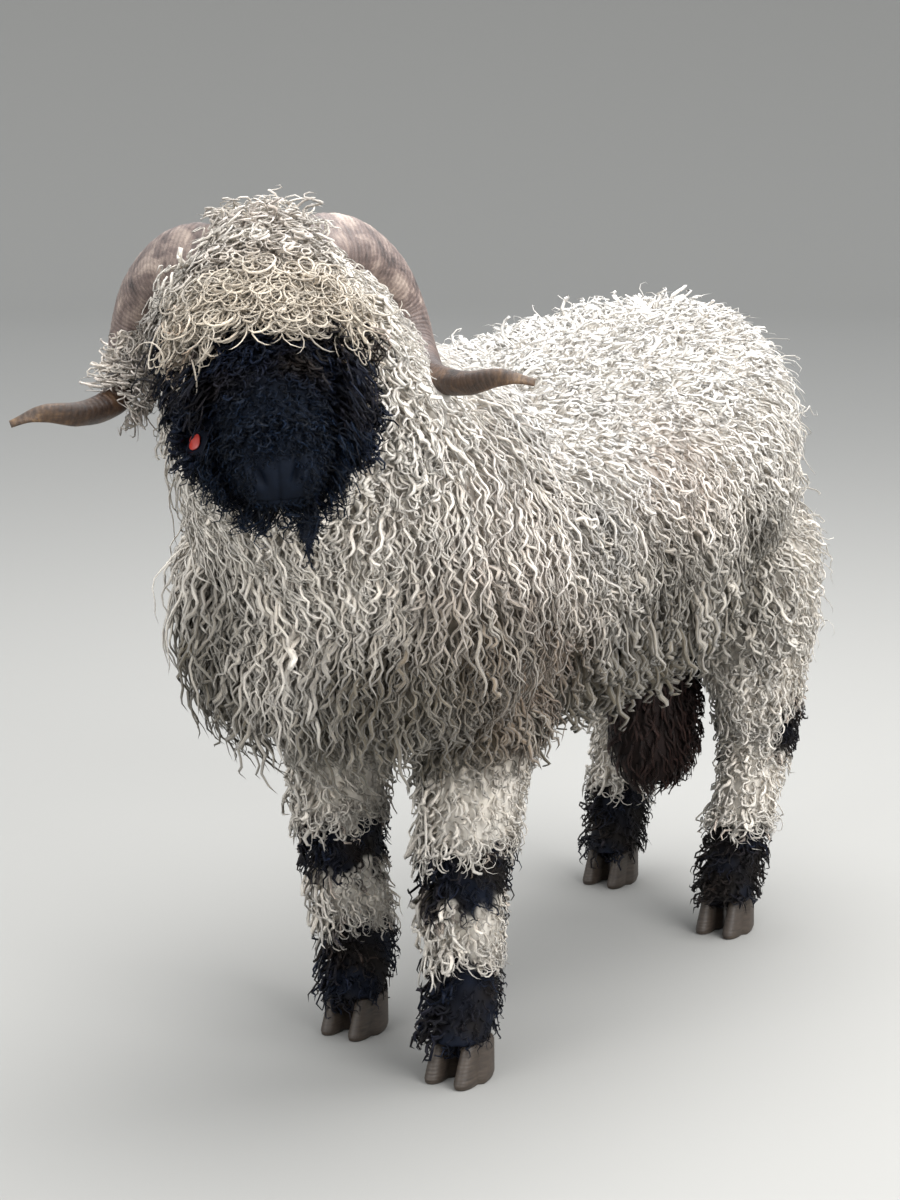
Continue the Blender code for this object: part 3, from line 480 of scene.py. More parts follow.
def paint(obj, colours):
    """The colour of each point of a mesh, as the attribute that the wool materials read."""
    layer = obj.data.attributes.new("Coat", "FLOAT_COLOR", "POINT")
    opaque = np.hstack([colours, np.ones((len(colours), 1))])
    layer.data.foreach_set("color", opaque.astype(np.float32).ravel())


def baked(obj):
    """The object's mesh with its modifiers made part of it."""
    graph = bpy.context.evaluated_depsgraph_get()
    mesh = bpy.data.meshes.new_from_object(obj.evaluated_get(graph))
    obj.modifiers.clear()
    old = obj.data
    obj.data = mesh
    bpy.data.meshes.remove(old)


def read_mesh(mesh):
    """Points in the layout, point normals and triangles of a mesh."""
    mesh.calc_loop_triangles()
    points = np.empty(len(mesh.vertices) * 3, np.float32)
    mesh.vertices.foreach_get("co", points)
    normals = np.empty(len(mesh.vertices) * 3, np.float32)
    mesh.vertex_normals.foreach_get("vector", normals)
    faces = np.empty(len(mesh.loop_triangles) * 3, np.int32)
    mesh.loop_triangles.foreach_get("vertices", faces)
    return points.reshape(-1, 3) - SHIFT, normals.reshape(-1, 3), faces.reshape(-1, 3)


def ripple(points, size, seed):
    """Smooth noise from about -1 to 1: a sum of sine waves with random headings and phases."""
    rng = np.random.default_rng(seed)
    heading = rng.normal(size=(10, 3))
    heading /= np.linalg.norm(heading, axis=1, keepdims=True)
    pace = 2 * math.pi / size * rng.uniform(0.7, 1.5, 10)
    waves = np.sin(points @ (heading * pace[:, None]).T + rng.uniform(0, 2 * math.pi, 10))
    return waves.sum(axis=1) / 3.2


def hump(values, middle, width):
    """A bell curve of 1 at middle that falls off over width."""
    return np.exp(-(((values - middle) / width) ** 2))


def step(values, low, high):
    """0 below low, 1 above high, and a smooth rise between."""
    t = np.clip((values - low) / (high - low), 0, 1)
    return t * t * (3 - 2 * t)


def unit(vectors):
    """Vectors at a length of 1."""
    return vectors / np.maximum(np.linalg.norm(vectors, axis=-1, keepdims=True), 1e-9)


# Markings that skin and wool share

CREAM = linear("#f1ede7")
BEIGE = linear("#ebe2d4")
# Khaki-grey: painted shade low on chest and belly, with a greenish cast of painted grass reflection.
PAINTED_SHADE_BELOW = linear("#595140")
RUST = linear("#cfae98")
GREY_STAIN = linear("#77736f")
BROWN_STAIN_AND_SHADE = linear("#4a3c31")
GOLDEN = linear("#d8c4a6")
TUFT_BROWN = linear("#a3897a")
# The plain black and the muzzle's black carry a blue cast: painted reflection of the sky on black wool and
# muzzle.
SKY_TINTED_BLACK = linear("#070e1c")
BLACK_BROWN = linear("#15110f")
SKY_TINTED_MUZZLE_BLACK = linear("#030c1a")
PURSE_BROWN = linear("#1d1412")

# Stains: middle, reach, colour, strength.
STAINS = (
    ((0.155, -0.42, 0.62), (0.08, 0.09, 0.11), RUST, 0.20),
    ((0.19, -0.34, 0.47), (0.07, 0.07, 0.08), RUST, 0.30),
    ((0.25, -0.10, 0.68), (0.06, 0.10, 0.07), RUST, 0.45),
    ((0.225, -0.29, 0.63), (0.06, 0.045, 0.05), GREY_STAIN, 0.75),
    ((0.25, -0.18, 0.50), (0.07, 0.10, 0.04), GREY_STAIN, 0.50),
    # Brown at the rump's edge: partly a real stain and partly painted shade where the rump turns away.
    ((0.15, 0.42, 0.56), (0.10, 0.06, 0.08), BROWN_STAIN_AND_SHADE, 0.60),
    ((-0.24, 0.12, 0.58), (0.07, 0.07, 0.06), GREY_STAIN, 0.35),
    ((-0.20, -0.25, 0.56), (0.09, 0.10, 0.08), RUST, 0.40),
    ((0.035, -0.648, 0.962), (0.060, 0.050, 0.045), TUFT_BROWN, 0.60),
    ((-0.158, -0.616, 0.808), (0.050, 0.060, 0.060), TUFT_BROWN, 0.50),
)


def on_head(points):
    """Points of skull and ruff: ahead of the cut behind the poll and above the one under the jaw."""
    own = in_head(points)
    return (own[:, 1] < HEAD_PARTING[0]) & (own[:, 2] > -HEAD_PARTING[1]) & (points[:, 1] < -0.45)


def on_skull(points, spare=0.022):
    """Points within spare of the bare skull."""
    own = in_head(points)
    rows = smooth_rows(SKULL, 60)[::-1]
    top, low, half = (np.interp(own[:, 1], rows[:, 0], rows[:, k]) for k in (1, 2, 3))
    across = own[:, 0] / (half + spare)
    above = (own[:, 2] - (top + low) / 2) / ((top - low) / 2 + spare)
    return (across ** 2 + above ** 2 < 1.0) & (own[:, 1] < 0.05) & (own[:, 1] > -0.30)


def leg_of(points):
    """The number of the nearest foot, and how far out from that leg's line each point is."""
    best = np.full(len(points), 9.0)
    which = np.zeros(len(points), int)
    for k, name in enumerate(FEET):
        rings = leg_rings(name, 0, 24, 4).mean(axis=1)[::-1]
        x = np.interp(points[:, 2], rings[:, 2], rings[:, 0])
        y = np.interp(points[:, 2], rings[:, 2], rings[:, 1])
        far = np.hypot(points[:, 0] - x, points[:, 1] - y)
        which = np.where(far < best, k, which)
        best = np.minimum(best, far)
    return which, best


# Heights where the black of the legs starts and ends, at the roots: the locks hang below them. The
# hock's patch lies on the back of the leg only, so far behind the middle of the foot.
BOOT_TOP = 0.140
KNEE_PATCH = (0.205, 0.268)
HOCK_PATCH = (0.2225, 0.305)
HOCK_BEHIND = 0.056
# Black of the face, ahead of the poll: edge on the brow, dip and half width of its peak, edge at the
# cheeks. All markings have ragged edges.
FACE_EDGE = 0.098
FACE_PEAK = (0.020, 0.040)
CHEEK_EDGE = 0.030
RAGGED = 0.012
EDGE = 0.006


def dark_share(points):
    """How black the coat is, 0 or 1 with a soft edge: face, knees, hocks, feet and purse."""
    own = in_head(points)
    ragged = RAGGED * ripple(points, 0.030, 5)
    brow = FACE_EDGE + FACE_PEAK[0] * hump(own[:, 0], 0, FACE_PEAK[1])
    top_edge = np.where(own[:, 2] > -0.02, -brow, -CHEEK_EDGE)
    face = on_skull(points) * step(top_edge - own[:, 1] + ragged, -EDGE, EDGE)
    which, _ = leg_of(points)
    fore = which < 2
    z = points[:, 2] + ragged
    boot = step(BOOT_TOP - z, -EDGE, EDGE)
    knee = step(z - KNEE_PATCH[0], -EDGE, EDGE) * step(KNEE_PATCH[1] - z, -EDGE, EDGE) * fore
    foot_y = np.array([foot[1] for foot, _ in FEET.values()])[which]
    rear = step(points[:, 1] - foot_y - HOCK_BEHIND, -0.008, 0.008)
    hock = step(z - HOCK_PATCH[0], -0.0075, 0.0075) * step(HOCK_PATCH[1] - z, -0.010, 0.010) * rear * ~fore
    low = points[:, 2] < 0.33
    purse = in_purse(points)
    return np.clip(face + low * (boot + knee + hock) + purse, 0, 1)


def in_purse(points):
    """1 on the purse and on the dark wool of the belly before it."""
    across = (points[:, 0] - PURSE_AT[0]) / 0.062
    along = (points[:, 1] - PURSE_AT[1]) / 0.085
    hanging = (across ** 2 + along ** 2 < 1.15) & (points[:, 2] < 0.425) & (points[:, 2] > 0.15)
    belly = (np.abs(points[:, 0]) < 0.05) & (np.abs(points[:, 1] - 0.15) < 0.09) & (points[:, 2] < 0.462)
    return (hanging | (belly & (points[:, 2] > 0.30))).astype(float)


def coat_colour(points, normals):
    """Colour of the coat at points of the skin: beige flanks painted lighter towards cream on the back and
    on upward faces as painted light, khaki-grey below as painted shade with a greenish cast of painted
    grass reflection, stains and black markings, with cloudy patches of a hand's breadth."""
    _, y, z = points.T
    cloud = ripple(points, 0.22, 1)
    fine = ripple(points, 0.055, 2)
    # Painted light: the coat turns lighter towards cream high up and where it faces up, behind the chest.
    light = step(z + 0.06 * normals[:, 2] + 0.02 * cloud, 0.60, 0.80)
    light *= step(y, -0.62, -0.30)
    # Painted shade: the coat turns khaki-grey low on chest and belly, with a greenish cast of painted
    # grass reflection.
    low = step(0.60 - z + 0.04 * cloud, -0.02, 0.11) * (0.20 + 0.80 * step(z, 0.34, 0.40))
    colour = BEIGE + (CREAM - BEIGE) * np.clip(0.42 + 0.10 * fine + 0.65 * light, 0, 1)[:, None]
    shade_below = np.clip(low * (1.0 + 0.15 * fine), 0, 0.97) * step(0.30 - y, 0, 0.15)
    colour = colour + (PAINTED_SHADE_BELOW - colour) * shade_below[:, None]
    for middle, reach, stain, strength in STAINS:
        near = np.exp(-(((points - middle) / reach) ** 2).sum(axis=1))
        share = strength * np.clip(near * (1.0 + 0.5 * fine), 0, 1)
        colour = colour + (stain - colour) * share[:, None]
    own = in_head(points)
    fringe = on_skull(points, 0.03) * step(-own[:, 1], 0.02, 0.08) * 0.6
    colour = colour + (GOLDEN - colour) * fringe[:, None]
    dark = dark_share(points)
    faded = np.clip(0.40 + 0.60 * fine + 0.4 * step(y, 0, 0.2), 0, 1)
    black = SKY_TINTED_BLACK + (BLACK_BROWN - SKY_TINTED_BLACK) * faded[:, None]
    purse = in_purse(points)[:, None]
    black = black + (PURSE_BROWN - black) * purse
    # Painted reflection: the muzzle's black takes a stronger blue cast of the sky.
    muzzle = step(-own[:, 1], 0.15, 0.19)[:, None] * on_skull(points)[:, None]
    black = black + (SKY_TINTED_MUZZLE_BLACK - black) * muzzle
    return colour + (black - colour) * dark[:, None]


# Skin

SKIN_VOXEL = 0.0060
# How far the skin stands out from the named sizes: matted underwool on trunk, neck and legs.
SKIN_GROW = {
    "trunk": 0.030, "neck": 0.032, "skull": 0.004, "leg": 0.012, "purse": 0.004, "tail": 0.008,
}
FACE_CUTS = 2


def lid_frames():
    """The frame of each eye, left then right: x along the face, y up the lids, z out of the eye."""
    frames = []
    for side in (1, -1):
        look = Vector((EYE_LOOK.x * side, EYE_LOOK.y, EYE_LOOK.z))
        along = (Vector((0, 1, 0)) - look * look.y).normalized()
        turn = Matrix((along, look.cross(along), look)).transposed().to_4x4()
        at = Matrix.Translation((EYE_AT.x * side, EYE_AT.y, EYE_AT.z))
        frames.append(head_frame() @ np.array(at @ turn))
    return frames


def sculpted_face(points, normals):
    """Points of the skin with the face's forms: bell-shaped grooves for the mouth, the nostrils and
    the line under the nose, folds over the nose, and lids that follow a sphere round each eye."""
    x, y, z = in_head(points).T
    side = np.abs(x)
    front = step(-y, 0.17, 0.20) * (side < 0.06)
    push = -0.0030 * hump(z, MOUTH_Z + 0.004 * step(-y, 0.22, 0.26), 0.0022) * step(-y, 0.18, 0.20)
    push -= 0.0022 * hump(side, 0, 0.0022) * step(-y, 0.235, 0.248) * step(z, -0.074, -0.060)
    slit = side - 0.0165 - 0.30 * (z + 0.038)
    push -= 0.0065 * hump(slit, 0, 0.0042) * hump(z, -0.0375, 0.0085) * step(-y, 0.225, 0.240)
    push += 0.0030 * hump(slit, 0.0095, 0.0045) * hump(z, -0.036, 0.012) * step(-y, 0.215, 0.235)
    push += 0.0022 * hump(z, MOUTH_Z - 0.008, 0.006) * step(-y, 0.215, 0.235)
    folds = np.sin((y + 0.35 * side) / 0.0085 * 2 * math.pi)
    push += 0.0011 * folds * step(-y, 0.180, 0.200) * step(0.240 + y, 0, 0.012) * step(z, -0.035, -0.010)
    push += 0.0030 * hump(side, 0.020, 0.009) * hump(y, -0.222, 0.014) * step(z, -0.03, -0.005)
    points = points + normals * (push * front)[:, None]
    for frame_of_eye in lid_frames():
        seen = unplaced(points, frame_of_eye)
        almond = np.hypot(seen[:, 0] / LID_OPENING[0], seen[:, 1] / LID_OPENING[1])
        far = np.linalg.norm(seen, axis=1)
        lid = EYE_RADIUS + 0.0026 * hump(almond, 1.25, 0.55) + 0.0010
        wanted = np.where(almond < 0.95, EYE_RADIUS * 0.72, lid)
        reach = step(2.9 - almond, 0.0, 1.3) * (seen[:, 2] > 0) * (far < 0.045)
        scale = 1 + (wanted / np.maximum(far, 1e-6) - 1) * reach
        points = placed(seen * scale[:, None], frame_of_eye)
    return points


def tucked_in(rings):
    """A leg's rings with the topmost ones drawn in towards their middle, to end inside the trunk."""
    share = 0.45 + 0.55 * step(np.arange(len(rings)), 0, 0.16 * len(rings))[:, None, None]
    middle = rings.mean(axis=1, keepdims=True)
    return middle + (rings - middle) * share


def make_skin(material):
    """One skin over trunk, neck, head, legs, purse and tail: their tubes fused by a voxel remesh,
    smoothed, cut finer over the face and shaped there."""
    tubes = [
        tube(trunk_rings(SKIN_GROW["trunk"], 60, 64)),
        tube(neck_rings(SKIN_GROW["neck"], 30, 48)),
        tube(skull_rings(SKIN_GROW["skull"], 70, 56)),
        tube(purse_rings(SKIN_GROW["purse"], 30, 32)),
        tube(tail_rings(SKIN_GROW["tail"], 30, 24)),
        *[tube(tucked_in(leg_rings(name, SKIN_GROW["leg"], 50, 32))) for name in FEET],
    ]
    skin = new_piece("skin", *joined(*tubes), material)
    fuse = skin.modifiers.new("fuse", "REMESH")
    fuse.mode = "VOXEL"
    fuse.voxel_size = SKIN_VOXEL
    soften = skin.modifiers.new("soften", "SMOOTH")
    soften.factor = 0.5
    soften.iterations = 9
    baked(skin)
    points, _, _ = read_mesh(skin.data)
    ends = np.empty(len(skin.data.edges) * 2, np.int32)
    skin.data.edges.foreach_get("vertices", ends)
    x, y, z = in_head(points[ends.reshape(-1, 2)].mean(axis=1)).T
    side = np.abs(x)
    muzzle = (y < -0.165) & (y > -0.3) & (side < 0.07) & (z > -0.13)
    eye = (np.abs(side - 0.055) < 0.026) & (np.abs(y + 0.10) < 0.034) & (np.abs(z + 0.002) < 0.032)
    bm = bmesh.new()
    bm.from_mesh(skin.data)
    bm.edges.ensure_lookup_table()
    edges = [bm.edges[k] for k in np.flatnonzero(muzzle | eye).tolist()]
    bmesh.ops.subdivide_edges(bm, edges=edges, cuts=FACE_CUTS, use_grid_fill=True, smooth=0.4)
    bmesh.ops.triangulate(bm, faces=bm.faces[:])
    bm.to_mesh(skin.data)
    bm.free()
    points, normals, _ = read_mesh(skin.data)
    points = sculpted_face(points, normals)
    skin.data.vertices.foreach_set("co", (points + SHIFT).astype(np.float32).ravel())
    skin.data.update()
    skin.data.shade_smooth()
    points, normals, _ = read_mesh(skin.data)
    shade = np.where(dark_share(points) > 0.5, 1.0, 0.96)[:, None]
    paint(skin, coat_colour(points, normals) * shade)
    legs = [f"leg_{name}" for name in FEET]
    settle(skin, "fleece", "torso", "neck", "head", "tail", "scrotum", *legs)
    return skin


# Wool

# Matted lock at the chin: distance down from its root, and half width.
CHIN_LOCK = (
    (0.000, 0.0050), (0.010, 0.0045), (0.018, 0.0034), (0.025, 0.0068), (0.034, 0.0098), (0.045, 0.0085),
    (0.053, 0.0040), (0.060, 0.0015), (0.074, 0.0007),
)
CHIN_LOCK_AT = (0.028, -0.232, -0.076)

# Points tried as roots on skin, chin lock and ear, and the most triangles that one piece takes.
SKIN_TRIES = 420000
CHIN_TRIES = 900
EAR_TRIES = 9000
MOST_IN_PIECE = 185000

# Locks: corners of a section, depth of the root under the skin, places along a lock and its share of
# the full width there, and how colours change from root to tip: painted shade that darkens and warms
# each lock towards its root, and on black wool a painted highlight that lightens its tip to brownish grey.
LOCK_SIDES = 3
ROOT_DEPTH = 0.003
LOCK_TAPER = ((0, 0.25, 0.6, 0.9, 1), (0.80, 1.0, 0.88, 0.50, 0.25))
BLACK_ROOT_SHADE = 0.5
BLACK_TIP_HIGHLIGHT = np.array((2.3, 2.1, 2.0))
ROOT_SHADE = np.array((0.93, 0.89, 0.84))
CREAM_TONES = 0.13
BLACK_TONES = 0.35
EAR_TONES = 0.30

# Wool at the horns: the gap that it keeps, how far a horn may push a lock aside, the share of its
# length that a lock has left where it was in the way, and how far from a horn the coat is shorter.
HORN_SPARE = 0.004
MOST_PUSH = 0.022
MOST_PUSH_AT_BEND = 0.006
SHORT_BY_BEND = 0.55
SHORT_AT_HORN = 0.032

# Direction from the head to the viewer, in the level head's frame, and the column that is kept free
# of wool before the ear tag: its radius and length.
VIEWER = np.array((0.07, -0.99, 0.13))
TAG_COLUMN = (0.0062, 0.10)

# Patch of one lock in the map OFBake. In the space of the fibre pattern a lock's radius is 1, each ring
# lies RING_STEP further on, and each lock LOCK_STEP.
TUFT_PATCH = 0.003
RING_STEP = 0.25
LOCK_STEP = 17.0

# Heights of the long cuffs over boots and knee patches, and the pull of the belly's locks.
CUFFS = (0.277, 0.149)
CUFF_REACH = 0.010
BELLY_HANG = np.array((0, 0, -1.8))
# The ram's left and rear as the viewer sees them: level, and square to the view.
LEFT_AND_BACK = (0.854, 0.52, 0)

# Wool that has tumbled over the right horn: middle in the level head's frame, and reach.
DRAPE_AT = (-0.115, 0.030, -0.075)
DRAPE_REACH = 0.075


def scattered(points, normals, faces, number, rng):
    """Points drawn evenly by area over a mesh, with the normals there."""
    a, b, c = (points[faces[:, k]] for k in range(3))
    area = np.cumsum(np.linalg.norm(np.cross(b - a, c - a), axis=1))
    pick = faces[np.searchsorted(area, rng.uniform(0, area[-1], number))]
    u, v = np.sort(rng.uniform(size=(2, number)), axis=0)
    share = np.stack([u, v - u, 1 - v], axis=1)[:, :, None]
    return (points[pick] * share).sum(axis=1), unit((normals[pick] * share).sum(axis=1))


def spaced(points, spacing, rng):
    """Indices that keep one point in each cell of a turned grid, then of the grid moved by half."""
    turn = np.linalg.qr(rng.normal(size=(3, 3)))[0]
    kept = np.arange(len(points))
    for offset, share in ((0.0, 0.80), (0.5, 0.62)):
        cell = np.floor(points[kept] @ turn / (spacing * share) + offset).astype(np.int64)
        _, first = np.unique(cell, axis=0, return_index=True)
        kept = kept[np.sort(first)]
    return kept


def lock_template(rings, sides):
    """Triangles of one lock as (ring, side) pairs, sides counted on past the seam. The root is
    closed by a fan and the tip by its last single point."""
    tris = []
    for r in range(rings - 1):
        for s in range(sides):
            tris += [((r, s), (r, s + 1), (r + 1, s + 1)), ((r, s), (r + 1, s + 1), (r + 1, s))]
    tris += [((rings - 1, s), (rings - 1, s + 1), (rings, s)) for s in range(sides)]
    tris += [((0, 0), (0, s + 1), (0, s)) for s in range(1, sides - 1)]
    return np.array(tris)


def grow_locks(root, out, lie, size, style, rng):
    """Waved or curled locks as closed tubes. The middle line leaves the root along the normal and
    bends over to the lie: height * (1 - (1 - t)^2 - droop * t^3) up, and reach * t^1.3 along. To it
    a helix is added that swells from the root on: curl * (side * cos + (a * out + b * lie) * sin) of
    the phase, where a and b say how far it stands off the coat or lies in it. Neighbours share the
    phase except for the style's loose share of it. Sections follow the line without twisting."""
    count = len(root)
    rings = style["rings"]
    t = (np.linspace(0, 1, rings + 1) ** 0.85)[None, :, None]

    def varied(key, spread):
        return (style[key] * size * jitter(rng, count, spread)).reshape(-1, 1, 1)

    height, reach = varied("height", 0.22), varied("reach", 0.25)
    curl, width = varied("curl", 0.20), varied("width", 0.26)
    turns = style["turns"] * jitter(rng, count, 0.14).reshape(-1, 1, 1)
    side = unit(np.cross(out, lie))[:, None]
    out, lie = out[:, None], lie[:, None]
    loose = style["loose"]
    shared = 5.0 * ripple(root, 0.045, 11)
    phase = (shared + rng.uniform(-math.pi, math.pi, count) * loose).reshape(-1, 1, 1)
    hand = np.sign(ripple(root, 0.08, 12) + rng.normal(0, loose, count)).reshape(-1, 1, 1)
    angle = phase + hand * 2 * math.pi * turns * t ** 1.15
    swell = curl * (0.10 + 0.90 * np.minimum(1, 1.7 * t))
    off, along = style["plane"]
    helix = swell * (side * np.cos(angle) + (off * out + along * lie) * np.sin(angle))
    rise = height * (1 - (1 - t) ** 2 - style.get("droop", 0.15) * t ** 3) - ROOT_DEPTH
    middle = root[:, None] + out * rise + lie * reach * t ** 1.3 + helix - helix[:, :1]
    ahead = unit(np.gradient(middle, axis=1))
    first = side[:, 0]
    across = np.empty_like(middle)
    for k in range(rings + 1):
        first = unit(first - (first * ahead[:, k]).sum(axis=1, keepdims=True) * ahead[:, k])
        across[:, k] = first
    thin = np.cross(ahead, across)
    taper = np.interp(t[0, :, 0], *LOCK_TAPER)
    radius = width / 2 * taper[None, :, None]
    turn = np.linspace(0, 2 * math.pi, LOCK_SIDES, endpoint=False)[:, None]
    body = (
        middle[:, :-1, None]
        + (radius[:, :-1, None] * across[:, :-1, None]) * np.cos(turn)
        + (radius[:, :-1, None] * thin[:, :-1, None]) * np.sin(turn) * style.get("flat", 0.75)
    )
    return np.concatenate([body.reshape(count, -1, 3), middle[:, -1:]], axis=1)


def lock_piece(name, locks, colours, patch, rings, material, slot):
    """One coat piece. Each lock darkens and warms towards its root as painted shade, black wool also
    lightens to brownish grey towards its tip as painted highlight, and its faces lie in the map OFBake as
    a small patch at the place of its root on the unwrapped skin."""
    count, per = locks.shape[:2]
    template = lock_template(rings, LOCK_SIDES)
    ring, turn = template[..., 0], template[..., 1]
    index = np.where(ring == rings, rings * LOCK_SIDES, ring * LOCK_SIDES + turn % LOCK_SIDES)
    faces = (index[None] + (np.arange(count) * per)[:, None, None]).reshape(-1, 3)
    obj = new_piece(name, locks.reshape(-1, 3), faces, material)
    along = np.append(np.repeat(np.arange(rings), LOCK_SIDES), rings) / rings
    # Painted shade darkens each lock towards its root; on black wool a painted highlight also lightens its
    # tip to brownish grey.
    low, high = (BLACK_ROOT_SHADE, BLACK_TIP_HIGHLIGHT) if slot == "black_wool" else (ROOT_SHADE, 1.0)
    fade = low + (high - low) * step(along, -0.1, 0.85)[:, None]
    paint(obj, (colours[:, None] * fade[None]).reshape(-1, 3))
    around = np.append(np.tile(np.arange(LOCK_SIDES), rings), 0) * (2 * math.pi / LOCK_SIDES)
    inner = columns(np.cos(around), np.sin(around), along * rings * RING_STEP)
    strand = inner[None] + np.arange(count)[:, None, None] * (0.0, 0.0, LOCK_STEP)
    layer = obj.data.attributes.new("Strand", "FLOAT_VECTOR", "POINT")
    layer.data.foreach_set("vector", strand.astype(np.float32).ravel())
    local = np.stack([ring / rings - 0.5, turn / LOCK_SIDES - 0.5], axis=-1).reshape(1, -1, 2) * TUFT_PATCH
    spread = 0.002 + 0.996 * patch[:, None] + local
    layer = obj.data.uv_layers.new(name="OFBake")
    layer.data.foreach_set("uv", spread.astype(np.float32).ravel())
    settle(obj, slot)


def unwrap(points, axis):
    """Place on the unwrapped skin, 0 to 1: distance along an axis, and angle round it."""
    start, end = np.array(axis, float)
    length = np.linalg.norm(end - start)
    ahead = (end - start) / length
    across = np.array((1.0, 0, 0))
    up = np.cross(ahead, across)
    rel = points - start
    along = rel @ ahead / length
    angle = np.arctan2(rel @ up, rel @ across) / (2 * math.pi) + 0.5
    return np.clip(np.stack([along, angle], axis=1), 0, 1)


def wool_lie(points, normals, style, rng):
    """The lie of the wool: down the surface, parted along the back, swept by the style's own sweep,
    and turned by smooth whorls and a random share. The forelock fans forwards from the poll, and
    the cheeks' wool grows outwards and towards the nose."""
    down = np.stack([np.sign(points[:, 0]) * 0.3 * np.maximum(0, normals[:, 2]), np.zeros(len(points)),
                     -np.ones(len(points))], axis=1)
    lie = down + style.get("sweep", (0, 0.30, 0))
    if style.get("own"):
        sign = np.sign(in_head(points)[:, :1])
        lie = (sign * (1, 0, 0) * style["own"][0] + (0, *style["own"][1:])) @ head_frame()[:3, :3].T
    if style.get("fan"):
        own = in_head(points)
        lie = columns(own[:, 0] * style["fan"], -1.0, -0.1) @ head_frame()[:3, :3].T
    lie = unit(lie - (lie * normals).sum(axis=1, keepdims=True) * normals)
    turn = 0.9 * style["wander"] * ripple(points, 0.10, 7) + rng.normal(0, style["wander"], len(points))
    side = np.cross(normals, lie)
    return lie * np.cos(turn)[:, None] + side * np.sin(turn)[:, None]


def fibrous_material(name, low, high):
    """A material in the coat's own colour with stripes along each lock, darker and lighter by the
    factors low to high and raised as a bump: bundles of fibres. The attribute Strand counts in half
    widths of a lock."""
    material, tree, shader = new_material(name)
    coat = add(tree, "Attribute", {"attribute_name": "Coat"})
    strand = add(tree, "Attribute", {"attribute_name": "Strand"})
    noise = add(tree, "TexNoise", None, Vector=strand.outputs["Vector"],
                Scale=FIBRES, Detail=3.0)
    tone = add(tree, "MapRange", None, Value=noise.outputs["Fac"], From_Min=0.32, From_Max=0.68,
               To_Min=low, To_Max=high)
    bump = add(tree, "Bump", None, Height=noise.outputs["Fac"], Strength=0.9, Distance=0.0026)
    mixed = add(tree, "Mix", MULTIPLY, i0=1.0, i6=coat.outputs["Color"], i7=tone.outputs["Result"])
    tree.links.new(mixed.outputs[2], shader.inputs["Base Color"])
    tree.links.new(bump.outputs["Normal"], shader.inputs["Normal"])
    return material, shader


def wool_material():
    """Long lustrous wool in washed-out locks: matt, with a soft sheen at grazing angles that
    lightens the edges, and bundles of fibres that run along each lock."""
    material, shader = fibrous_material("curly_lustre_wool", 0.84, 1.18)
    shader.inputs["Roughness"].default_value = 0.80
    shader.inputs["Specular IOR Level"].default_value = 0.25
    shader.inputs["Sheen Weight"].default_value = 0.35
    shader.inputs["Sheen Roughness"].default_value = 0.5
    return material


def black_wool_material():
    """Black wool, its tips painted lighter and brownish as highlight on the curls: nearly matt, with a
    faint cool gloss on the curls.
    """
    material, shader = fibrous_material("black_curly_wool", 0.6, 1.4)
    shader.inputs["Roughness"].default_value = 0.42
    shader.inputs["Specular IOR Level"].default_value = 0.18
    return material


def skin_material():
    """Skin under wool: what shows between locks is matted underwool, and short hair on the muzzle."""
    material, tree, shader = new_material("underwool_and_short_hair")
    coat = add(tree, "Attribute", {"attribute_name": "Coat"})
    where = add(tree, "TexCoord")
    mottle = add(tree, "TexNoise", None, Vector=where.outputs["Object"],
                 Scale=UNDERWOOL_CLUMPS, Detail=4.0)
    tone = add(tree, "MapRange", None, Value=mottle.outputs["Fac"], To_Min=0.55, To_Max=1.25)
    mixed = add(tree, "Mix", MULTIPLY, i0=1.0, i6=coat.outputs["Color"], i7=tone.outputs["Result"])
    hair = add(tree, "TexNoise", None, Vector=where.outputs["Object"], Scale=SHORT_HAIRS,
               Detail=2.0)
    bump = add(tree, "Bump", None, Height=hair.outputs["Fac"], Strength=0.4, Distance=0.0010)
    tree.links.new(mixed.outputs[2], shader.inputs["Base Color"])
    tree.links.new(bump.outputs["Normal"], shader.inputs["Normal"])
    shader.inputs["Roughness"].default_value = 0.70
    shader.inputs["Specular IOR Level"].default_value = 0.15
    return material


def jitter(rng, count, spread):
    """Random factors round 1."""
    return np.exp(rng.normal(0, spread, count))


def tones(rng, count, spread):
    """One brightness for each lock."""
    return jitter(rng, (count, 1), spread)


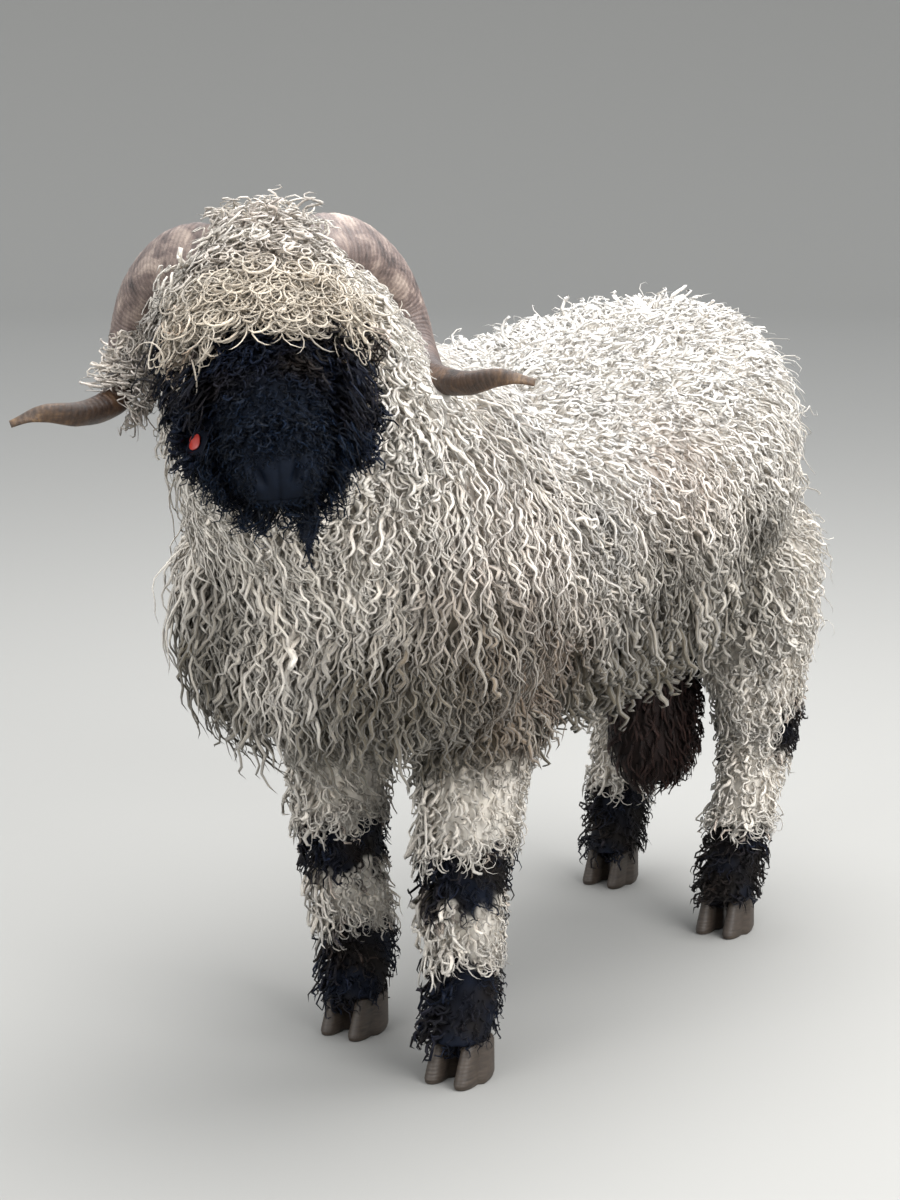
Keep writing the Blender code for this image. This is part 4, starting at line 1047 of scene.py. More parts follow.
# Coat styles. Sizes in metres: spacing of the roots, height over the skin, reach along the lie,
# radius and number of the turns, width. Wander is how far the lie turns, plane how far the turns stand
# off the coat and lie in it, loose how little neighbours curl alike, flat the section's thickness,
# droop how far the tips sink, sweep a push on the lie, fan and own a lie in the head's own frame.
STYLES = {
    "back": dict(spacing=0.0123, height=0.024, reach=0.017, curl=0.0050, turns=1.5, width=0.0052,
                 wander=0.65, plane=(0.35, 0.85), rings=8, loose=0.6, flat=0.55),
    "flank": dict(spacing=0.0125, height=0.024, reach=0.040, curl=0.0042, turns=2.0, width=0.0049,
                  wander=0.30, plane=(0.35, 0.35), rings=9, loose=0.40, flat=0.50, droop=0.40),
    "belly": dict(spacing=0.0182, height=0.056, reach=0.026, curl=0.0044, turns=2.4, width=0.0060,
                  wander=0.24, plane=(0.35, 0.30), rings=9, loose=0.3, flat=0.50, droop=0.08),
    "chest": dict(spacing=0.0117, height=0.028, reach=0.062, curl=0.0042, turns=2.6, width=0.0044,
                  wander=0.20, plane=(0.35, 0.15), rings=11, loose=0.45, flat=0.50, droop=0.50,
                  sweep=(0, 0.10, 0)),
    "ruff": dict(spacing=0.0086, height=0.022, reach=0.034, curl=0.0046, turns=1.8, width=0.0052,
                 wander=0.35, plane=(0.40, 0.50), rings=10, loose=0.4, flat=0.55, droop=0.3,
                 sweep=(0, -0.10, 0)),
    "leg": dict(spacing=0.0118, height=0.018, reach=0.028, curl=0.0046, turns=1.7, width=0.0052,
                wander=0.34, plane=(0.45, 0.50), rings=7, loose=0.5, flat=0.55, droop=0.40,
                sweep=(0, 0.05, 0)),
    "boot": dict(spacing=0.0107, height=0.016, reach=0.022, curl=0.0046, turns=1.5, width=0.0035,
                 wander=0.60, plane=(0.5, 0.7), rings=6, loose=1.0, sweep=(0, 0.05, 0), droop=0.3),
    "cuff": dict(spacing=0.0085, height=0.020, reach=0.024, curl=0.0068, turns=1.5, width=0.0036,
                 wander=0.40, plane=(0.4, 0.8), rings=12, loose=1.0, droop=0.3),
    "tail": dict(spacing=0.0110, height=0.016, reach=0.044, curl=0.0044, turns=1.9, width=0.0070,
                 wander=0.20, plane=(0.4, 0.3), rings=10, loose=0.3, flat=0.5, droop=0.4),
    "purse": dict(spacing=0.0135, height=0.009, reach=0.030, curl=0.0024, turns=1.0, width=0.0056,
                  wander=0.20, plane=(0.4, 0.2), rings=7, loose=0.5, flat=0.5, droop=0.4),
    "forelock": dict(spacing=0.0064, height=0.034, reach=0.020, curl=0.0068, turns=1.9, width=0.0032,
                     wander=0.55, plane=(0.40, 0.9), rings=12, loose=1.0, fan=7.0),
    "fringe": dict(spacing=0.0090, height=0.038, reach=0.026, curl=0.0115, turns=1.5, width=0.0030,
                   wander=0.40, plane=(0.20, 1.0), rings=18, loose=1.0, fan=7.0, droop=0.1),
    "cheek": dict(spacing=0.0062, height=0.036, reach=0.030, curl=0.0074, turns=2.2, width=0.0029,
                  wander=0.50, plane=(0.5, 0.8), rings=11, loose=1.0, own=(0.4, -0.8, -0.5)),
    "drape": dict(spacing=0.0064, height=0.013, reach=0.026, curl=0.0075, turns=1.7, width=0.0030,
                  wander=0.35, plane=(0.5, 0.9), rings=13, loose=1.0, droop=0.3, sweep=(-0.15, -0.2, 0)),
    "brow": dict(spacing=0.0054, height=0.016, reach=0.014, curl=0.0048, turns=1.4, width=0.0032,
                 wander=0.70, plane=(0.4, 0.8), rings=8, loose=1.0),
    "muzzle": dict(spacing=0.0044, height=0.0120, reach=0.011, curl=0.0036, turns=1.2, width=0.0028,
                   wander=0.50, plane=(0.3, 0.6), rings=5, loose=1.0, droop=0.3),
    "wisp": dict(spacing=0.0330, height=0.030, reach=0.030, curl=0.0070, turns=1.3, width=0.0017,
                 wander=0.60, plane=(0.6, 0.6), rings=7, loose=1.0),
}
CHIN_STYLE = dict(spacing=0.0030, height=0.0016, reach=0.010, curl=0.0012, turns=1.4, width=0.0020,
                  wander=0.35, plane=(0.6, 0.5), rings=7, loose=1.0, sweep=(0, 0, 0))
EAR_STYLE = dict(spacing=0.0065, height=0.014, reach=0.012, curl=0.0050, turns=1.6, width=0.0034,
                 wander=0.60, plane=(0.5, 0.8), rings=9, loose=1.0, sweep=(0, 0, 0))

BLACK_STYLES = ("cheek", "brow", "muzzle", "boot", "purse")
FITTED = ("back", "flank", "belly", "chest", "leg", "cuff", "boot", "tail")
NEAR_HORNS = ("ruff", "flank", "back", "chest")
# Shorter wool towards the nose: share left at the front, and where it starts and ends along the head.
SHORTER_AHEAD = {
    "cheek": (0.75, -0.22, -0.15),
    "brow": (0.55, -0.21, -0.13),
    "muzzle": (0.60, -0.24, -0.21),
}


def horn_line():
    """Points and half thicknesses along both horns, in the layout."""
    line = smooth_rows(HORN_LINE, 40)
    sides = [placed(line[:, :3] * (side, -1, 1), level_head()) for side in (1, -1)]
    return np.concatenate(sides), np.tile(line[:, 3], 2)


def horn_gap(points):
    """Distance of points from the skin of the nearer horn, less than nothing inside it."""
    gap = np.full(len(points), 9.0)
    for at, size in zip(*horn_line()):
        gap = np.minimum(gap, np.linalg.norm(points - at, axis=1) - size)
    return gap


def horn_wool_roots(rng):
    """Roots of the wool that has tumbled over the right horn: on its inner side from the root down,
    and on its whole front where it bends up again."""
    rings, travel = horn_rings(-1, 240, 60)
    out = unit(rings - rings.mean(axis=1, keepdims=True))
    share = (travel / travel[-1])[:, None]
    turned = out @ level_head()[:3, :3]
    inner, front = turned[..., 0], -turned[..., 1]
    upper = (share > 0.20) & (share < 0.50) & (inner + 0.3 * front > 0.35 - 0.9 * step(share, 0.38, 0.50))
    lower = (share >= 0.46) & (share < 0.715) & (front + 0.5 * inner > 0.25)
    kept = (upper | lower) & (rng.random(share.shape[:1] + (60,)) < 0.8)
    return rings[kept], out[kept]


def fitted(points, normals):
    """How much longer or shorter than its style the wool is: worn short behind the thighs and on the
    left of each foreleg, longer on their right and along the belly, and longest low on the right of
    the chest."""
    _, y, z = points.T
    corner = normals @ LEFT_AND_BACK
    rear = step(y, 0.22, 0.34) * step(corner, 0.2, 0.8)
    foreleg = step(-y, 0.05, 0.15) * step(0.42 - z, 0, 0.04)
    ledge = step(-corner, 0.3, 0.9) * step(-y, 0.20, 0.32) * step(0.64 - z, 0, 0.05) * step(z, 0.42, 0.46)
    edge = step(0.53 - z, 0, 0.05) * step(z, 0.38, 0.42) * step(y, -0.26, -0.16) * step(0.30 - y, 0, 0.08)
    return 1 - 0.22 * rear - 0.40 * foreleg * normals[:, 0] + 0.42 * ledge + 0.25 * edge


def on_nose(own):
    """The bare leather between and under the nostrils, in the frame of the head."""
    return (own[:, 1] < -0.240) & (np.abs(own[:, 0]) < 0.022) & (own[:, 2] < -0.022) & (own[:, 2] > -0.066)


def in_view_of(locks, at, radius, length):
    """Locks with a point in the column of that radius and length from a place towards the viewer."""
    rel = locks - at
    ahead = rel @ level_head()[:3, :3] @ VIEWER
    beside = np.sqrt(np.maximum(0, (rel ** 2).sum(axis=-1) - ahead ** 2))
    return ((ahead > 0) & (ahead < length) & (beside < radius)).any(axis=1)


def over_tag(locks):
    """Locks that would hide the ear tag: any point in the short column that stands on its plate, or
    in the one that runs from it towards the viewer."""
    before = in_view_of(locks, tag_frame()[:3, 3], *TAG_COLUMN)
    seen = unplaced(locks.reshape(-1, 3), tag_frame()).reshape(locks.shape)
    wide, tall, _ = TAG_PLATE
    column = (np.abs(seen[..., 0]) < wide + 0.001) & (np.abs(seen[..., 1]) < tall + 0.001)
    return before | (column & (seen[..., 2] > -0.012) & (seen[..., 2] < 0.06)).any(axis=1)


def over_bend(locks):
    """Locks that would hide the lower bend of the left horn, which stands clear of the wool."""
    line = smooth_rows(HORN_LINE, 60)
    bend = line[int(0.46 * len(line)):int(0.80 * len(line))]
    hidden = np.zeros(len(locks), bool)
    for at, size in zip(placed(bend[:, :3] * (1, -1, 1), level_head()), bend[:, 3]):
        hidden |= in_view_of(locks, at, 0.8 * size, 0.12)
    return hidden


def clear_of_horns(locks):
    """Lock points inside a horn moved out to its skin, so that wool drapes over the horn."""
    shape = locks.shape
    points = locks.reshape(-1, 3).copy()
    for at, size in zip(*horn_line()):
        rel = points - at
        far = np.linalg.norm(rel, axis=1, keepdims=True)
        wanted = size + HORN_SPARE
        points = np.where(far < wanted, at + rel * wanted / np.maximum(far, 1e-6), points)
    return points.reshape(shape)


def style_of(points, normals):
    """The coat style of each root."""
    own = in_head(points)
    x, y, z = points.T
    style = np.full(len(points), "flank", dtype="<U9")
    style[normals[:, 2] > 0.55] = "back"
    style[(normals[:, 2] < -0.35) & (z < 0.60)] = "belly"
    style[y < -0.36 + 0.25 * (z - 0.66)] = "chest"
    _, far = leg_of(points)
    legs = (z < 0.40) & (far < 0.11)
    style[legs] = "leg"
    head = on_head(points)
    style[head] = "ruff"
    skull = head & on_skull(points, 0.016)
    dark = dark_share(points) > 0.5
    style[skull & ~dark] = "forelock"
    style[skull & dark] = "cheek"
    style[skull & dark & (own[:, 2] > -0.030) & (own[:, 1] < -0.10) & (np.abs(own[:, 0]) < 0.05)] = "brow"
    front = (own[:, 1] < -0.232) | ((own[:, 1] < -0.205) & (own[:, 2] > -0.05))
    style[skull & front & (own[:, 2] > -0.076)] = "muzzle"
    style[legs & dark] = "boot"
    style[(in_purse(points) > 0) & ~legs] = "purse"
    style[(y > 0.425) & (np.abs(x) < 0.055) & (z > 0.38) & (z < 0.70)] = "tail"
    return style


# Axes of the unwrap of each area of the coat, and the styles of the areas other than the trunk.
COAT_AXES = {
    "trunk": ((0, -0.52, 0.60), (0, 0.52, 0.62)),
    "neck": ((0, -0.30, 0.56), (0, -0.62, 0.90)),
    "head": placed(np.array(((0, 0.10, -0.05), (0, -0.30, -0.05))), head_frame()),
    "legs": ((0, 0.0, 0.0), (0, 0.0, 0.45)),
}
COAT_AREAS = {
    "neck": ("chest",),
    "head": ("ruff", "forelock", "fringe", "cheek", "drape", "brow", "muzzle"),
    "legs": ("leg", "boot", "cuff"),
}


def wool_roots(skin, rng):
    """Roots over the whole skin and on the right horn, their outward directions and their styles."""
    points, normals, faces = read_mesh(skin.data)
    roots, outs = scattered(points, normals, faces, SKIN_TRIES, rng)
    names = style_of(roots, outs)
    own = in_head(roots)
    chance = rng.random(len(roots))
    names[(names == "forelock") & (own[:, 1] < -0.055) & (chance < 0.40)] = "fringe"
    level = unplaced(roots, level_head())
    bend = np.linalg.norm(level - DRAPE_AT, axis=1) < DRAPE_REACH
    names[(names == "ruff") & bend & (level[:, 2] < -0.05) & (chance > 0.3)] = "drape"
    cuffs = np.min(np.abs(roots[:, 2, None] - np.array(CUFFS)), axis=1) < CUFF_REACH
    names[(names == "leg") & cuffs] = "cuff"
    names[np.isin(names, (*NEAR_HORNS, "belly")) & (chance < 0.02)] = "wisp"
    more, facing = horn_wool_roots(rng)
    names = np.concatenate([names, np.full(len(more), "drape", names.dtype)])
    return np.concatenate([roots, more]), np.concatenate([outs, facing]), names


def lock_sizes(name, root, out):
    """Length of each lock as a share of its style's: shorter at the horns, towards the nose and at
    both ends of the belly, and fitted to the photo's outline on the trunk and legs."""
    own, level = in_head(root), unplaced(root, level_head())
    size = np.ones(len(root))
    if name == "belly":
        size = 0.35 + 0.65 * step(0.18 - root[:, 1], 0, 0.10) * step(root[:, 1], -0.34, -0.22)
    if name in NEAR_HORNS:
        size = 0.50 + 0.50 * step(horn_gap(root), 0.0, SHORT_AT_HORN)
    if name == "forelock":
        size = 1.0 - 0.45 * step(level[:, 0], 0.045, 0.080)
    if name in SHORTER_AHEAD:
        least, front, back = SHORTER_AHEAD[name]
        size = least + (1 - least) * step(own[:, 1], front, back)
    if name in FITTED:
        size = size * fitted(root, out)
    if name == "wisp":
        size = step(horn_gap(root), 0.02, 0.06)
    return size


def drawn_in(locks, root):
    """Locks that a horn would push far aside, or that would hide the left horn's bend, drawn in
    towards their roots: root + (point - root) * SHORT_BY_BEND."""
    pushed = np.linalg.norm(clear_of_horns(locks) - locks, axis=2).max(axis=1) > MOST_PUSH
    tight = (over_bend(locks) | pushed)[:, None, None]
    return np.where(tight, root[:, None] + (locks - root[:, None]) * SHORT_BY_BEND, locks)


def make_wool(skin, cream, black):
    """All locks, by style, grown on the skin and gathered into pieces of under 200,000 triangles."""
    rng = np.random.default_rng(SEED)
    roots, outs, names = wool_roots(skin, rng)
    for name, style in STYLES.items():
        mine = np.flatnonzero(names == name)
        mine = mine[spaced(roots[mine], style["spacing"], rng)]
        root, out = roots[mine], outs[mine]
        if name == "belly":
            out = unit(out + BELLY_HANG)
        lie = wool_lie(root, out, style, rng)
        size = lock_sizes(name, root, out)
        locks = drawn_in(grow_locks(root, out, lie, size, style, rng), root)
        clear = clear_of_horns(locks)
        moved = np.linalg.norm(clear - locks, axis=2).max(axis=1)
        nose = (name == "muzzle") & on_nose(in_head(root))
        free = ~nose & (horn_gap(root) > -HORN_SPARE) & (moved < MOST_PUSH) & (size > 0.1)
        free &= ~over_tag(locks) & ~(over_bend(clear) & (moved > MOST_PUSH_AT_BEND))
        locks, root, out = clear[free], root[free], out[free]
        dark = name in BLACK_STYLES
        tone = tones(rng, len(root), BLACK_TONES if dark else CREAM_TONES)
        colours = coat_colour(root, out) * tone
        area = next((word for word, styles in COAT_AREAS.items() if name in styles), "trunk")
        patch = unwrap(root, COAT_AXES[area])
        per_lock = len(lock_template(style["rings"], LOCK_SIDES))
        order = np.argsort(patch[:, 0], kind="stable")
        pieces = math.ceil(len(root) * per_lock / MOST_IN_PIECE)
        for k, part in enumerate(np.array_split(order, pieces)):
            lock_piece(f"wool_{name}_{k + 1}", locks[part], colours[part], patch[part], style["rings"],
                       black if dark else cream, "black_wool" if dark else "fleece")


def make_chin_lock(material, rng):
    """The matted lock that hangs from the chin: level ellipses down a line that snakes by sines, a
    drop with a thin drawn-out tail, with small curls all over it."""
    down, half = smooth_rows(CHIN_LOCK, 30).T
    middle = placed(columns(*CHIN_LOCK_AT), head_frame()) - columns(0, 0, down)
    middle = middle + columns(0.002 * np.sin(down * 120), 0.004 * np.sin(down * 70), 0)
    rings = sections(middle, columns(half, 0, 0), columns(0, half * 0.8, 0), 18)
    points, faces = tube(rings)
    lock = new_piece("chin_lock", points, faces, material)
    root, out, triangles = read_mesh(lock.data)
    root, out = scattered(root, out, triangles, CHIN_TRIES, rng)
    kept = spaced(root, CHIN_STYLE["spacing"], rng)
    root, out = root[kept], out[kept]
    lie = wool_lie(root, out, CHIN_STYLE, rng)
    curls = grow_locks(root, out, lie, np.ones(len(root)), CHIN_STYLE, rng)
    shades = np.tile(SKY_TINTED_BLACK, (len(root), 1)) * tones(rng, len(root), BLACK_TONES)
    lock_piece("chin_lock_curls", curls, shades, unwrap(root, COAT_AXES["head"]), CHIN_STYLE["rings"],
               material, "black_wool")
    paint(lock, np.tile(SKY_TINTED_BLACK, (len(points), 1)))
    strip_uv(lock, 30, 18, down / down[-1], "OFBake")
    settle(lock, "black_wool")


# Horns, ears, claws, eyes and tag

def horn_rings(side, count, sides):
    """Horn: flattened sections with three low keels round a smooth line, and growth rings as small
    waves of the section's size along it, deeper near the root."""
    line = smooth_rows(HORN_LINE, count)
    middle, size = line[:, :3], line[:, 3:4]
    ahead = unit(np.gradient(middle, axis=0))
    away = middle - HORN_CURL_CENTRE
    away = unit(away - (away * ahead).sum(axis=1, keepdims=True) * ahead)
    across = np.cross(ahead, away)
    travel = np.concatenate([[0], np.cumsum(np.linalg.norm(np.diff(middle, axis=0), axis=1))])
    wobble = 0.003 * np.sin(travel / 0.021) + 0.002 * np.sin(travel / 0.013 + 1)
    turns = (travel + wobble) * 2 * math.pi
    waves = 0.55 * np.sin(turns / HORN_RINGS[0]) + 0.45 * np.sin(turns / HORN_RINGS[1])
    fade = np.clip(1.15 - travel / travel[-1], 0, 1)
    size = size * (1 + HORN_RING_DEPTH * (waves * fade)[:, None])
    turn = np.linspace(0, 2 * math.pi, sides, endpoint=False)
    keel = 1 + HORN_KEEL * np.cos(3 * turn)
    rings = middle[:, None] + (np.cos(turn) * keel)[None, :, None] * (size * away)[:, None]
    rings = rings + (np.sin(turn) * keel)[None, :, None] * (size * HORN_FLATNESS * across)[:, None]
    rings[:, :, 0] *= side
    return placed(rings * (1, -1, 1), level_head()), travel


def strip_uv(obj, count, sides, along, name="Strip"):
    """A map on a tube: distance along it, and place round it from 0 to 1."""
    faces = np.empty(len(obj.data.loops), np.int32)
    obj.data.loops.foreach_get("vertex_index", faces)
    faces = faces.reshape(-1, 3)
    ring = np.minimum(faces // sides, count - 1)
    turn = (faces % sides).astype(float)
    wraps = turn.max(axis=1) - turn.min(axis=1) > sides / 2
    turn = np.where(wraps[:, None] & (turn < sides / 2), turn + sides, turn)
    u = np.asarray(along)[ring]
    layer = obj.data.uv_layers.new(name=name)
    layer.data.foreach_set("uv", np.stack([u, turn / sides], axis=-1).astype(np.float32).ravel())


def horn_material():
    """Sheep's horn, grown in rings and weathered: brown-grey with a purple cast, pale scuffed patches
    where the outer layers have flaked, dark lines in the grooves, a darker reddish brown over the lower
    bend that is partly its own colour and partly painted shade of the bend's hollow, and amber towards
    the tip."""
    material, tree, shader = new_material("weathered_horn_keratin")
    strip = add(tree, "UVMap", {"uv_map": "Strip"})
    where = add(tree, "TexCoord")
    split = add(tree, "SeparateXYZ", None, Vector=strip.outputs["UV"])
    rings = add(tree, "TexWave", {"bands_direction": "X"}, Vector=strip.outputs["UV"],
                Scale=HORN_GROOVES, Distortion=3.0, Detail=3.0,
                Detail_Scale=4.0)
    patches = add(tree, "TexNoise", None, Vector=where.outputs["Object"],
                  Scale=HORN_FLAKES, Detail=8.0, Roughness=0.74, Distortion=0.6)
    body = add(tree, "ValToRGB", None, Fac=patches.outputs["Fac"])
    ramp = body.color_ramp
    ramp.elements[0].position, ramp.elements[0].color = 0.36, rgba("#2b2220")
    ramp.elements[1].position, ramp.elements[1].color = 0.66, rgba("#a39286")
    ramp.elements.new(0.50).color = rgba("#665650")
    lines = add(tree, "MapRange", None, Value=rings.outputs["Fac"], To_Min=0.80, To_Max=1.06)
    ringed = add(tree, "Mix", MULTIPLY, i0=1.0, i6=body.outputs["Color"], i7=lines.outputs["Result"])
    streaks = add(tree, "Math", {"operation": "MULTIPLY_ADD"}, i0=patches.outputs["Fac"], i1=0.10,
                  i2=split.outputs["X"])
    # Along the horn: darker reddish brown over the lower bend, partly its own colour and partly painted
    # shade of the bend's hollow, then amber towards the tip.
    along = add(tree, "ValToRGB", None, Fac=streaks.outputs["Value"])
    ramp = along.color_ramp
    ramp.elements[0].position, ramp.elements[0].color = 0.26, (1.0, 1.0, 1.0, 1.0)
    ramp.elements[1].position, ramp.elements[1].color = 0.33, rgba("#8b6f63")
    ramp.elements.new(0.40).color = rgba("#a48a68")
    ramp.elements.new(0.47).color = rgba("#d9c294")
    tipped = add(tree, "Mix", MULTIPLY, i0=1.0, i6=ringed.outputs[2], i7=along.outputs["Color"])
    bump = add(tree, "Bump", None, Height=rings.outputs["Fac"], Strength=0.5, Distance=0.0008)
    tree.links.new(tipped.outputs[2], shader.inputs["Base Color"])
    tree.links.new(bump.outputs["Normal"], shader.inputs["Normal"])
    shader.inputs["Roughness"].default_value = 0.48
    shader.inputs["IOR"].default_value = 1.54
    return material


def make_horns(material):
    """Both horns, each one closed tube of rings."""
    for word, side in (("left", 1), ("right", -1)):
        rings, travel = horn_rings(side, 220, 36)
        horn = new_piece(f"horn_shell_{word}", *tube(rings), material)
        strip_uv(horn, 220, 36, travel)
        settle(horn, "horn", f"horn_{word}")


def ear_axes():
    """Along the ear, across it and out of its cup, for the left ear of the level head."""
    along = unit(EAR_TIP - EAR_ROOT)
    opens = unit(EAR_OPENS_TO - EAR_OPENS_TO @ along * along)
    return along, np.cross(along, opens), opens


def ear_rings(side, count, sides):
    """Ear: a leaf bent to half an ellipse at each section, so that it forms a cup. Its width follows a
    power of the sine along it, and its wall thins towards tip and rim."""
    _, across, opens = ear_axes()
    sweep = np.linspace(0, math.pi, sides // 2)
    t = np.linspace(0, 1, count)[:, None]
    leaf = 0.42 + 0.62 * np.sin(math.pi * np.minimum(1.0, 1.05 * t)) ** 0.8
    width = EAR_HALF_WIDTH * leaf * (1 - 0.35 * t ** 3)
    cup = width * EAR_CUP * (1 - 0.45 * t)
    half = EAR_THICKNESS * (1 - 0.45 * t) / 2 * (0.45 + 0.55 * np.sin(sweep))
    bend = np.stack([width * np.cos(sweep), -cup * np.sin(sweep)], axis=-1)
    wall = unit(np.stack([cup * np.cos(sweep), -width * np.sin(sweep)], axis=-1)) * half[..., None]
    strip = np.concatenate([bend + wall, (bend - wall)[:, ::-1]], axis=1)
    middle = (EAR_ROOT + (EAR_TIP - EAR_ROOT) * t)[:, None]
    rings = middle + strip[..., :1] * across + strip[..., 1:] * opens
    rings[:, :, 0] *= side
    return placed(rings * (1, -1, 1), level_head())


def make_ears(material, black, rng):
    """Both ears, with short curls on their outer side and rim."""
    for word, side in (("left", 1), ("right", -1)):
        ear = new_piece(f"ear_shell_{word}", *tube(ear_rings(side, 40, 28)), material)
        points, normals, faces = read_mesh(ear.data)
        paint(ear, np.tile(SKY_TINTED_BLACK, (len(points), 1)))
        settle(ear, "black_wool", f"ear_{word}")
        roots, outs = scattered(points, normals, faces, EAR_TRIES, rng)
        kept = spaced(roots, EAR_STYLE["spacing"], rng)
        root, out = roots[kept], outs[kept]
        lie = wool_lie(root, out, EAR_STYLE, rng)
        locks = grow_locks(root, out, lie, np.ones(len(root)), EAR_STYLE, rng)
        free = ~over_tag(locks)
        locks, root = locks[free], root[free]
        axis = placed(np.array((EAR_ROOT, EAR_TIP)) * (side, -1, 1), level_head())
        shades = np.tile(SKY_TINTED_BLACK, (len(root), 1)) * tones(rng, len(root), EAR_TONES)
        lock_piece(f"ear_wool_{word}", locks, shades, unwrap(root, axis), EAR_STYLE["rings"], black,
                   "black_wool")


def hoof_material():
    """Hoof horn: dark, dry and finely ridged, with dust in the ridges."""
    material, tree, shader = new_material("dark_hoof_horn")
    where = add(tree, "TexCoord")
    fine = (HOOF_STREAKS, HOOF_STREAKS, HOOF_RIDGES)
    stretch = add(tree, "Mapping", None, Vector=where.outputs["Object"], Scale=fine)
    ridges = add(tree, "TexNoise", None, Vector=stretch.outputs["Vector"], Scale=1.0, Detail=4.0)
    colour = add(tree, "ValToRGB", None, Fac=ridges.outputs["Fac"])
    colour.color_ramp.elements[0].color = rgba("#120e0c")
    colour.color_ramp.elements[1].color = rgba("#4d4238")
    bump = add(tree, "Bump", None, Height=ridges.outputs["Fac"], Strength=0.5, Distance=0.0008)
    tree.links.new(colour.outputs["Color"], shader.inputs["Base Color"])
    tree.links.new(bump.outputs["Normal"], shader.inputs["Normal"])
    shader.inputs["Roughness"].default_value = 0.55
    return material


def claw_rings(count, sides):
    """Claw, toe to -Y: ellipses whose front half narrows to a blunt point by a power of the sine, drawn
    in and leant back from the sole to the coronet, with fine growth ridges."""
    turn = np.linspace(0, 2 * math.pi, sides, endpoint=False)
    place, size, high = np.array(CLAW_WALL).T
    share, height = (np.interp(np.linspace(0, 1, count), place, values) for values in (size, high))
    toe = np.where(np.sin(turn) < 0, 0.62 + 0.38 * np.abs(np.sin(turn)) ** 1.4, 1.0)
    ridge = 1 + 0.006 * np.sin(height / CLAW_RIDGE * 2 * math.pi)
    x = np.outer(share * ridge, np.cos(turn) * toe * CLAW_WIDTH / 2)
    y = np.outer(share * ridge, np.sin(turn) * CLAW_LENGTH / 2) + (CLAW_LEAN * height)[:, None]
    return np.stack([x, y, np.repeat(height[:, None], sides, axis=1)], axis=-1)


def make_claws(material):
    """Two claws under each leg, apart by a narrow split."""
    for name, ((foot_x, foot_y), _) in FEET.items():
        outwards = math.copysign(1, foot_x)
        for word, side in (("inner", -1), ("outer", 1)):
            shift = np.array((foot_x + outwards * side * (CLAW_WIDTH / 2 + CLAW_SPLIT), foot_y, 0))
            claw = new_piece(f"claw_shell_{name}_{word}", *tube(claw_rings(40, 36) + shift), material)
            settle(claw, "hoof", f"claw_{name}_{word}")


def eye_material():
    """A ram's eye: wet glossy surface over an amber-brown iris with a level oblong pupil."""
    material, tree, shader = new_material("wet_eyeball")
    strip = add(tree, "UVMap", {"uv_map": "Strip"})
    split = add(tree, "SeparateXYZ", None, Vector=strip.outputs["UV"])
    wide = add(tree, "Math", {"operation": "MULTIPLY"}, i0=split.outputs["X"], i1=1 / PUPIL[0])
    tall = add(tree, "Math", {"operation": "MULTIPLY"}, i0=split.outputs["Y"], i1=1 / PUPIL[1])
    flat = add(tree, "CombineXYZ", None, X=wide.outputs[0], Y=tall.outputs[0])
    pupil = add(tree, "VectorMath", {"operation": "LENGTH"}, i0=flat.outputs["Vector"])
    iris = add(tree, "VectorMath", {"operation": "LENGTH"}, i0=strip.outputs["UV"])
    ring = add(tree, "MapRange", None, Value=iris.outputs["Value"], From_Min=IRIS_RIM[0],
               From_Max=IRIS_RIM[1])
    hole = add(tree, "MapRange", None, Value=pupil.outputs["Value"], From_Min=0.92, From_Max=1.08)
    brown = add(tree, "Mix", BLEND, i0=ring.outputs["Result"], i6=rgba("#5a3a17"), i7=rgba("#1c1512"))
    seen = add(tree, "Mix", BLEND, i0=hole.outputs["Result"], i6=rgba("#050505"), i7=brown.outputs[2])
    tree.links.new(seen.outputs[2], shader.inputs["Base Color"])
    shader.inputs["Roughness"].default_value = 0.06
    shader.inputs["IOR"].default_value = 1.38
    shader.inputs["Coat Weight"].default_value = 1.0
    shader.inputs["Coat Roughness"].default_value = 0.03
    return material


def make_eyes(material):
    """Each eye: a sphere as rings about the line of sight, with a low cornea bulge in front."""
    polar = np.linspace(0.02, math.pi - 0.02, 40)
    radius = EYE_RADIUS * (1 + 0.035 * hump(polar, 0, 0.55))
    wide, high = radius * np.sin(polar), radius * np.cos(polar)
    rings = sections(columns(0, 0, high), columns(wide, 0, 0), columns(0, wide, 0), 40)
    for word, matrix in zip(("left", "right"), lid_frames()):
        eye = new_piece(f"eyeball_{word}", *tube(placed(rings, matrix)), material)
        points, _, _ = read_mesh(eye.data)
        place = unplaced(points, matrix)
        index = np.empty(len(eye.data.loops), np.int32)
        eye.data.loops.foreach_get("vertex_index", index)
        layer = eye.data.uv_layers.new(name="Strip")
        layer.data.foreach_set("uv", place[index][:, :2].astype(np.float32).ravel())
        settle(eye, "eye", f"eye_{word}")


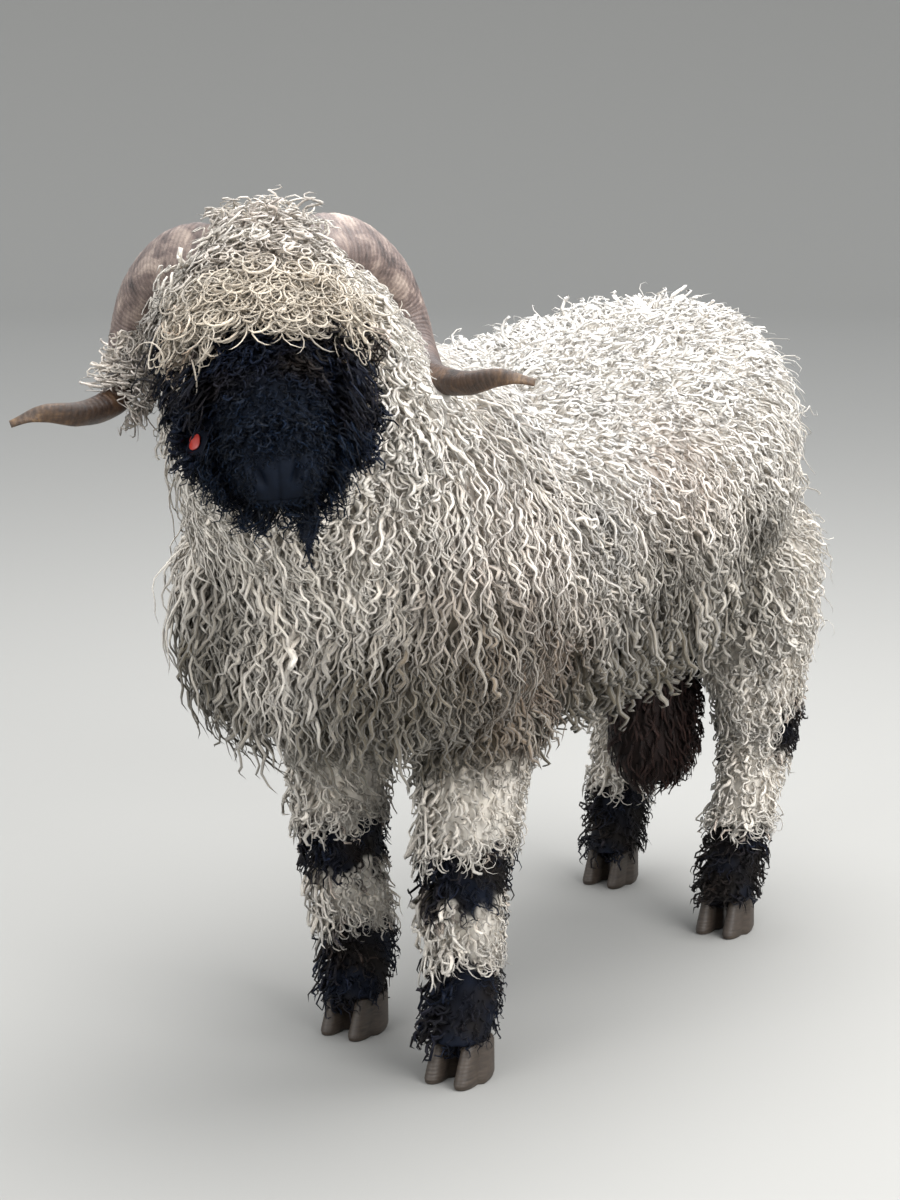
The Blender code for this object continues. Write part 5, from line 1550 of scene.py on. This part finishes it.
def tag_material():
    """Moulded polyurethane tag, red-orange, scuffed dull by weather."""
    material, tree, shader = new_material("moulded_tag_plastic")
    where = add(tree, "TexCoord")
    scuff = add(tree, "TexNoise", None, Vector=where.outputs["Object"], Scale=TAG_SCUFFS,
                Detail=3.0)
    colour = add(tree, "Mix", BLEND, i0=scuff.outputs["Fac"], i6=rgba("#b8352a"), i7=rgba("#8f281f"))
    tree.links.new(colour.outputs[2], shader.inputs["Base Color"])
    shader.inputs["Roughness"].default_value = 0.42
    return material


def tag_frame():
    """The frame of the ear tag: x across the ear, y along it, z out of its cup."""
    along, across, opens = ear_axes()
    width = EAR_HALF_WIDTH * (1 - 0.35 * TAG_SHARE ** 3)
    middle = EAR_ROOT + (EAR_TIP - EAR_ROOT) * TAG_SHARE - opens * width * 0.36
    turn = np.eye(4)
    flip = np.array((-1, -1, 1))
    turn[:3, :3] = np.stack([across * flip, along * flip, opens * flip], axis=1)
    turn[:3, 3] = middle * flip
    return level_head() @ turn


def make_tag(material):
    """Ear tag: rounded sections stacked along its stud, for the plate before the ear, the stud through
    it and the button behind it."""
    matrix = tag_frame()
    wide, tall, thick = TAG_PLATE
    stud, edge = TAG_STUD_RADIUS, TAG_EDGE
    # Height over the middle of the ear, half width and half height of each section.
    rows = [
        (TAG_CLEAR + thick, wide - edge, tall - edge),
        (TAG_CLEAR + thick * 0.5, wide, tall),
        (TAG_CLEAR - thick * 0.5, wide, tall),
        (TAG_CLEAR - thick, wide - edge * 0.75, tall - edge * 0.75),
        (TAG_CLEAR - thick, stud, stud),
        (-TAG_CLEAR + thick, stud, stud),
        (-TAG_CLEAR + thick, wide * 0.8, wide * 0.8),
        (-TAG_CLEAR - thick, wide * 0.72, wide * 0.72),
    ]
    high, half_x, half_y = np.array(rows).T
    rings = sections(columns(0, 0, high), columns(half_x, 0, 0), columns(0, half_y, 0), 40, 2.6)
    tag = new_piece("ear_tag_plate", *tube(placed(rings, matrix)), material)
    tag.data.set_sharp_from_angle(angle=math.radians(40))
    settle(tag, "tag_plastic", "ear_tag")


def main():
    """Camera, floor and light, then the skin and what grows on it, then the hard pieces."""
    set_camera()
    make_floor()
    set_light()
    cream, black, under = wool_material(), black_wool_material(), skin_material()
    skin = make_skin(under)
    make_wool(skin, cream, black)
    rng = np.random.default_rng(SEED + 1)
    make_chin_lock(black, rng)
    make_horns(horn_material())
    make_ears(under, black, rng)
    make_claws(hoof_material())
    make_eyes(eye_material())
    make_tag(tag_material())


main()
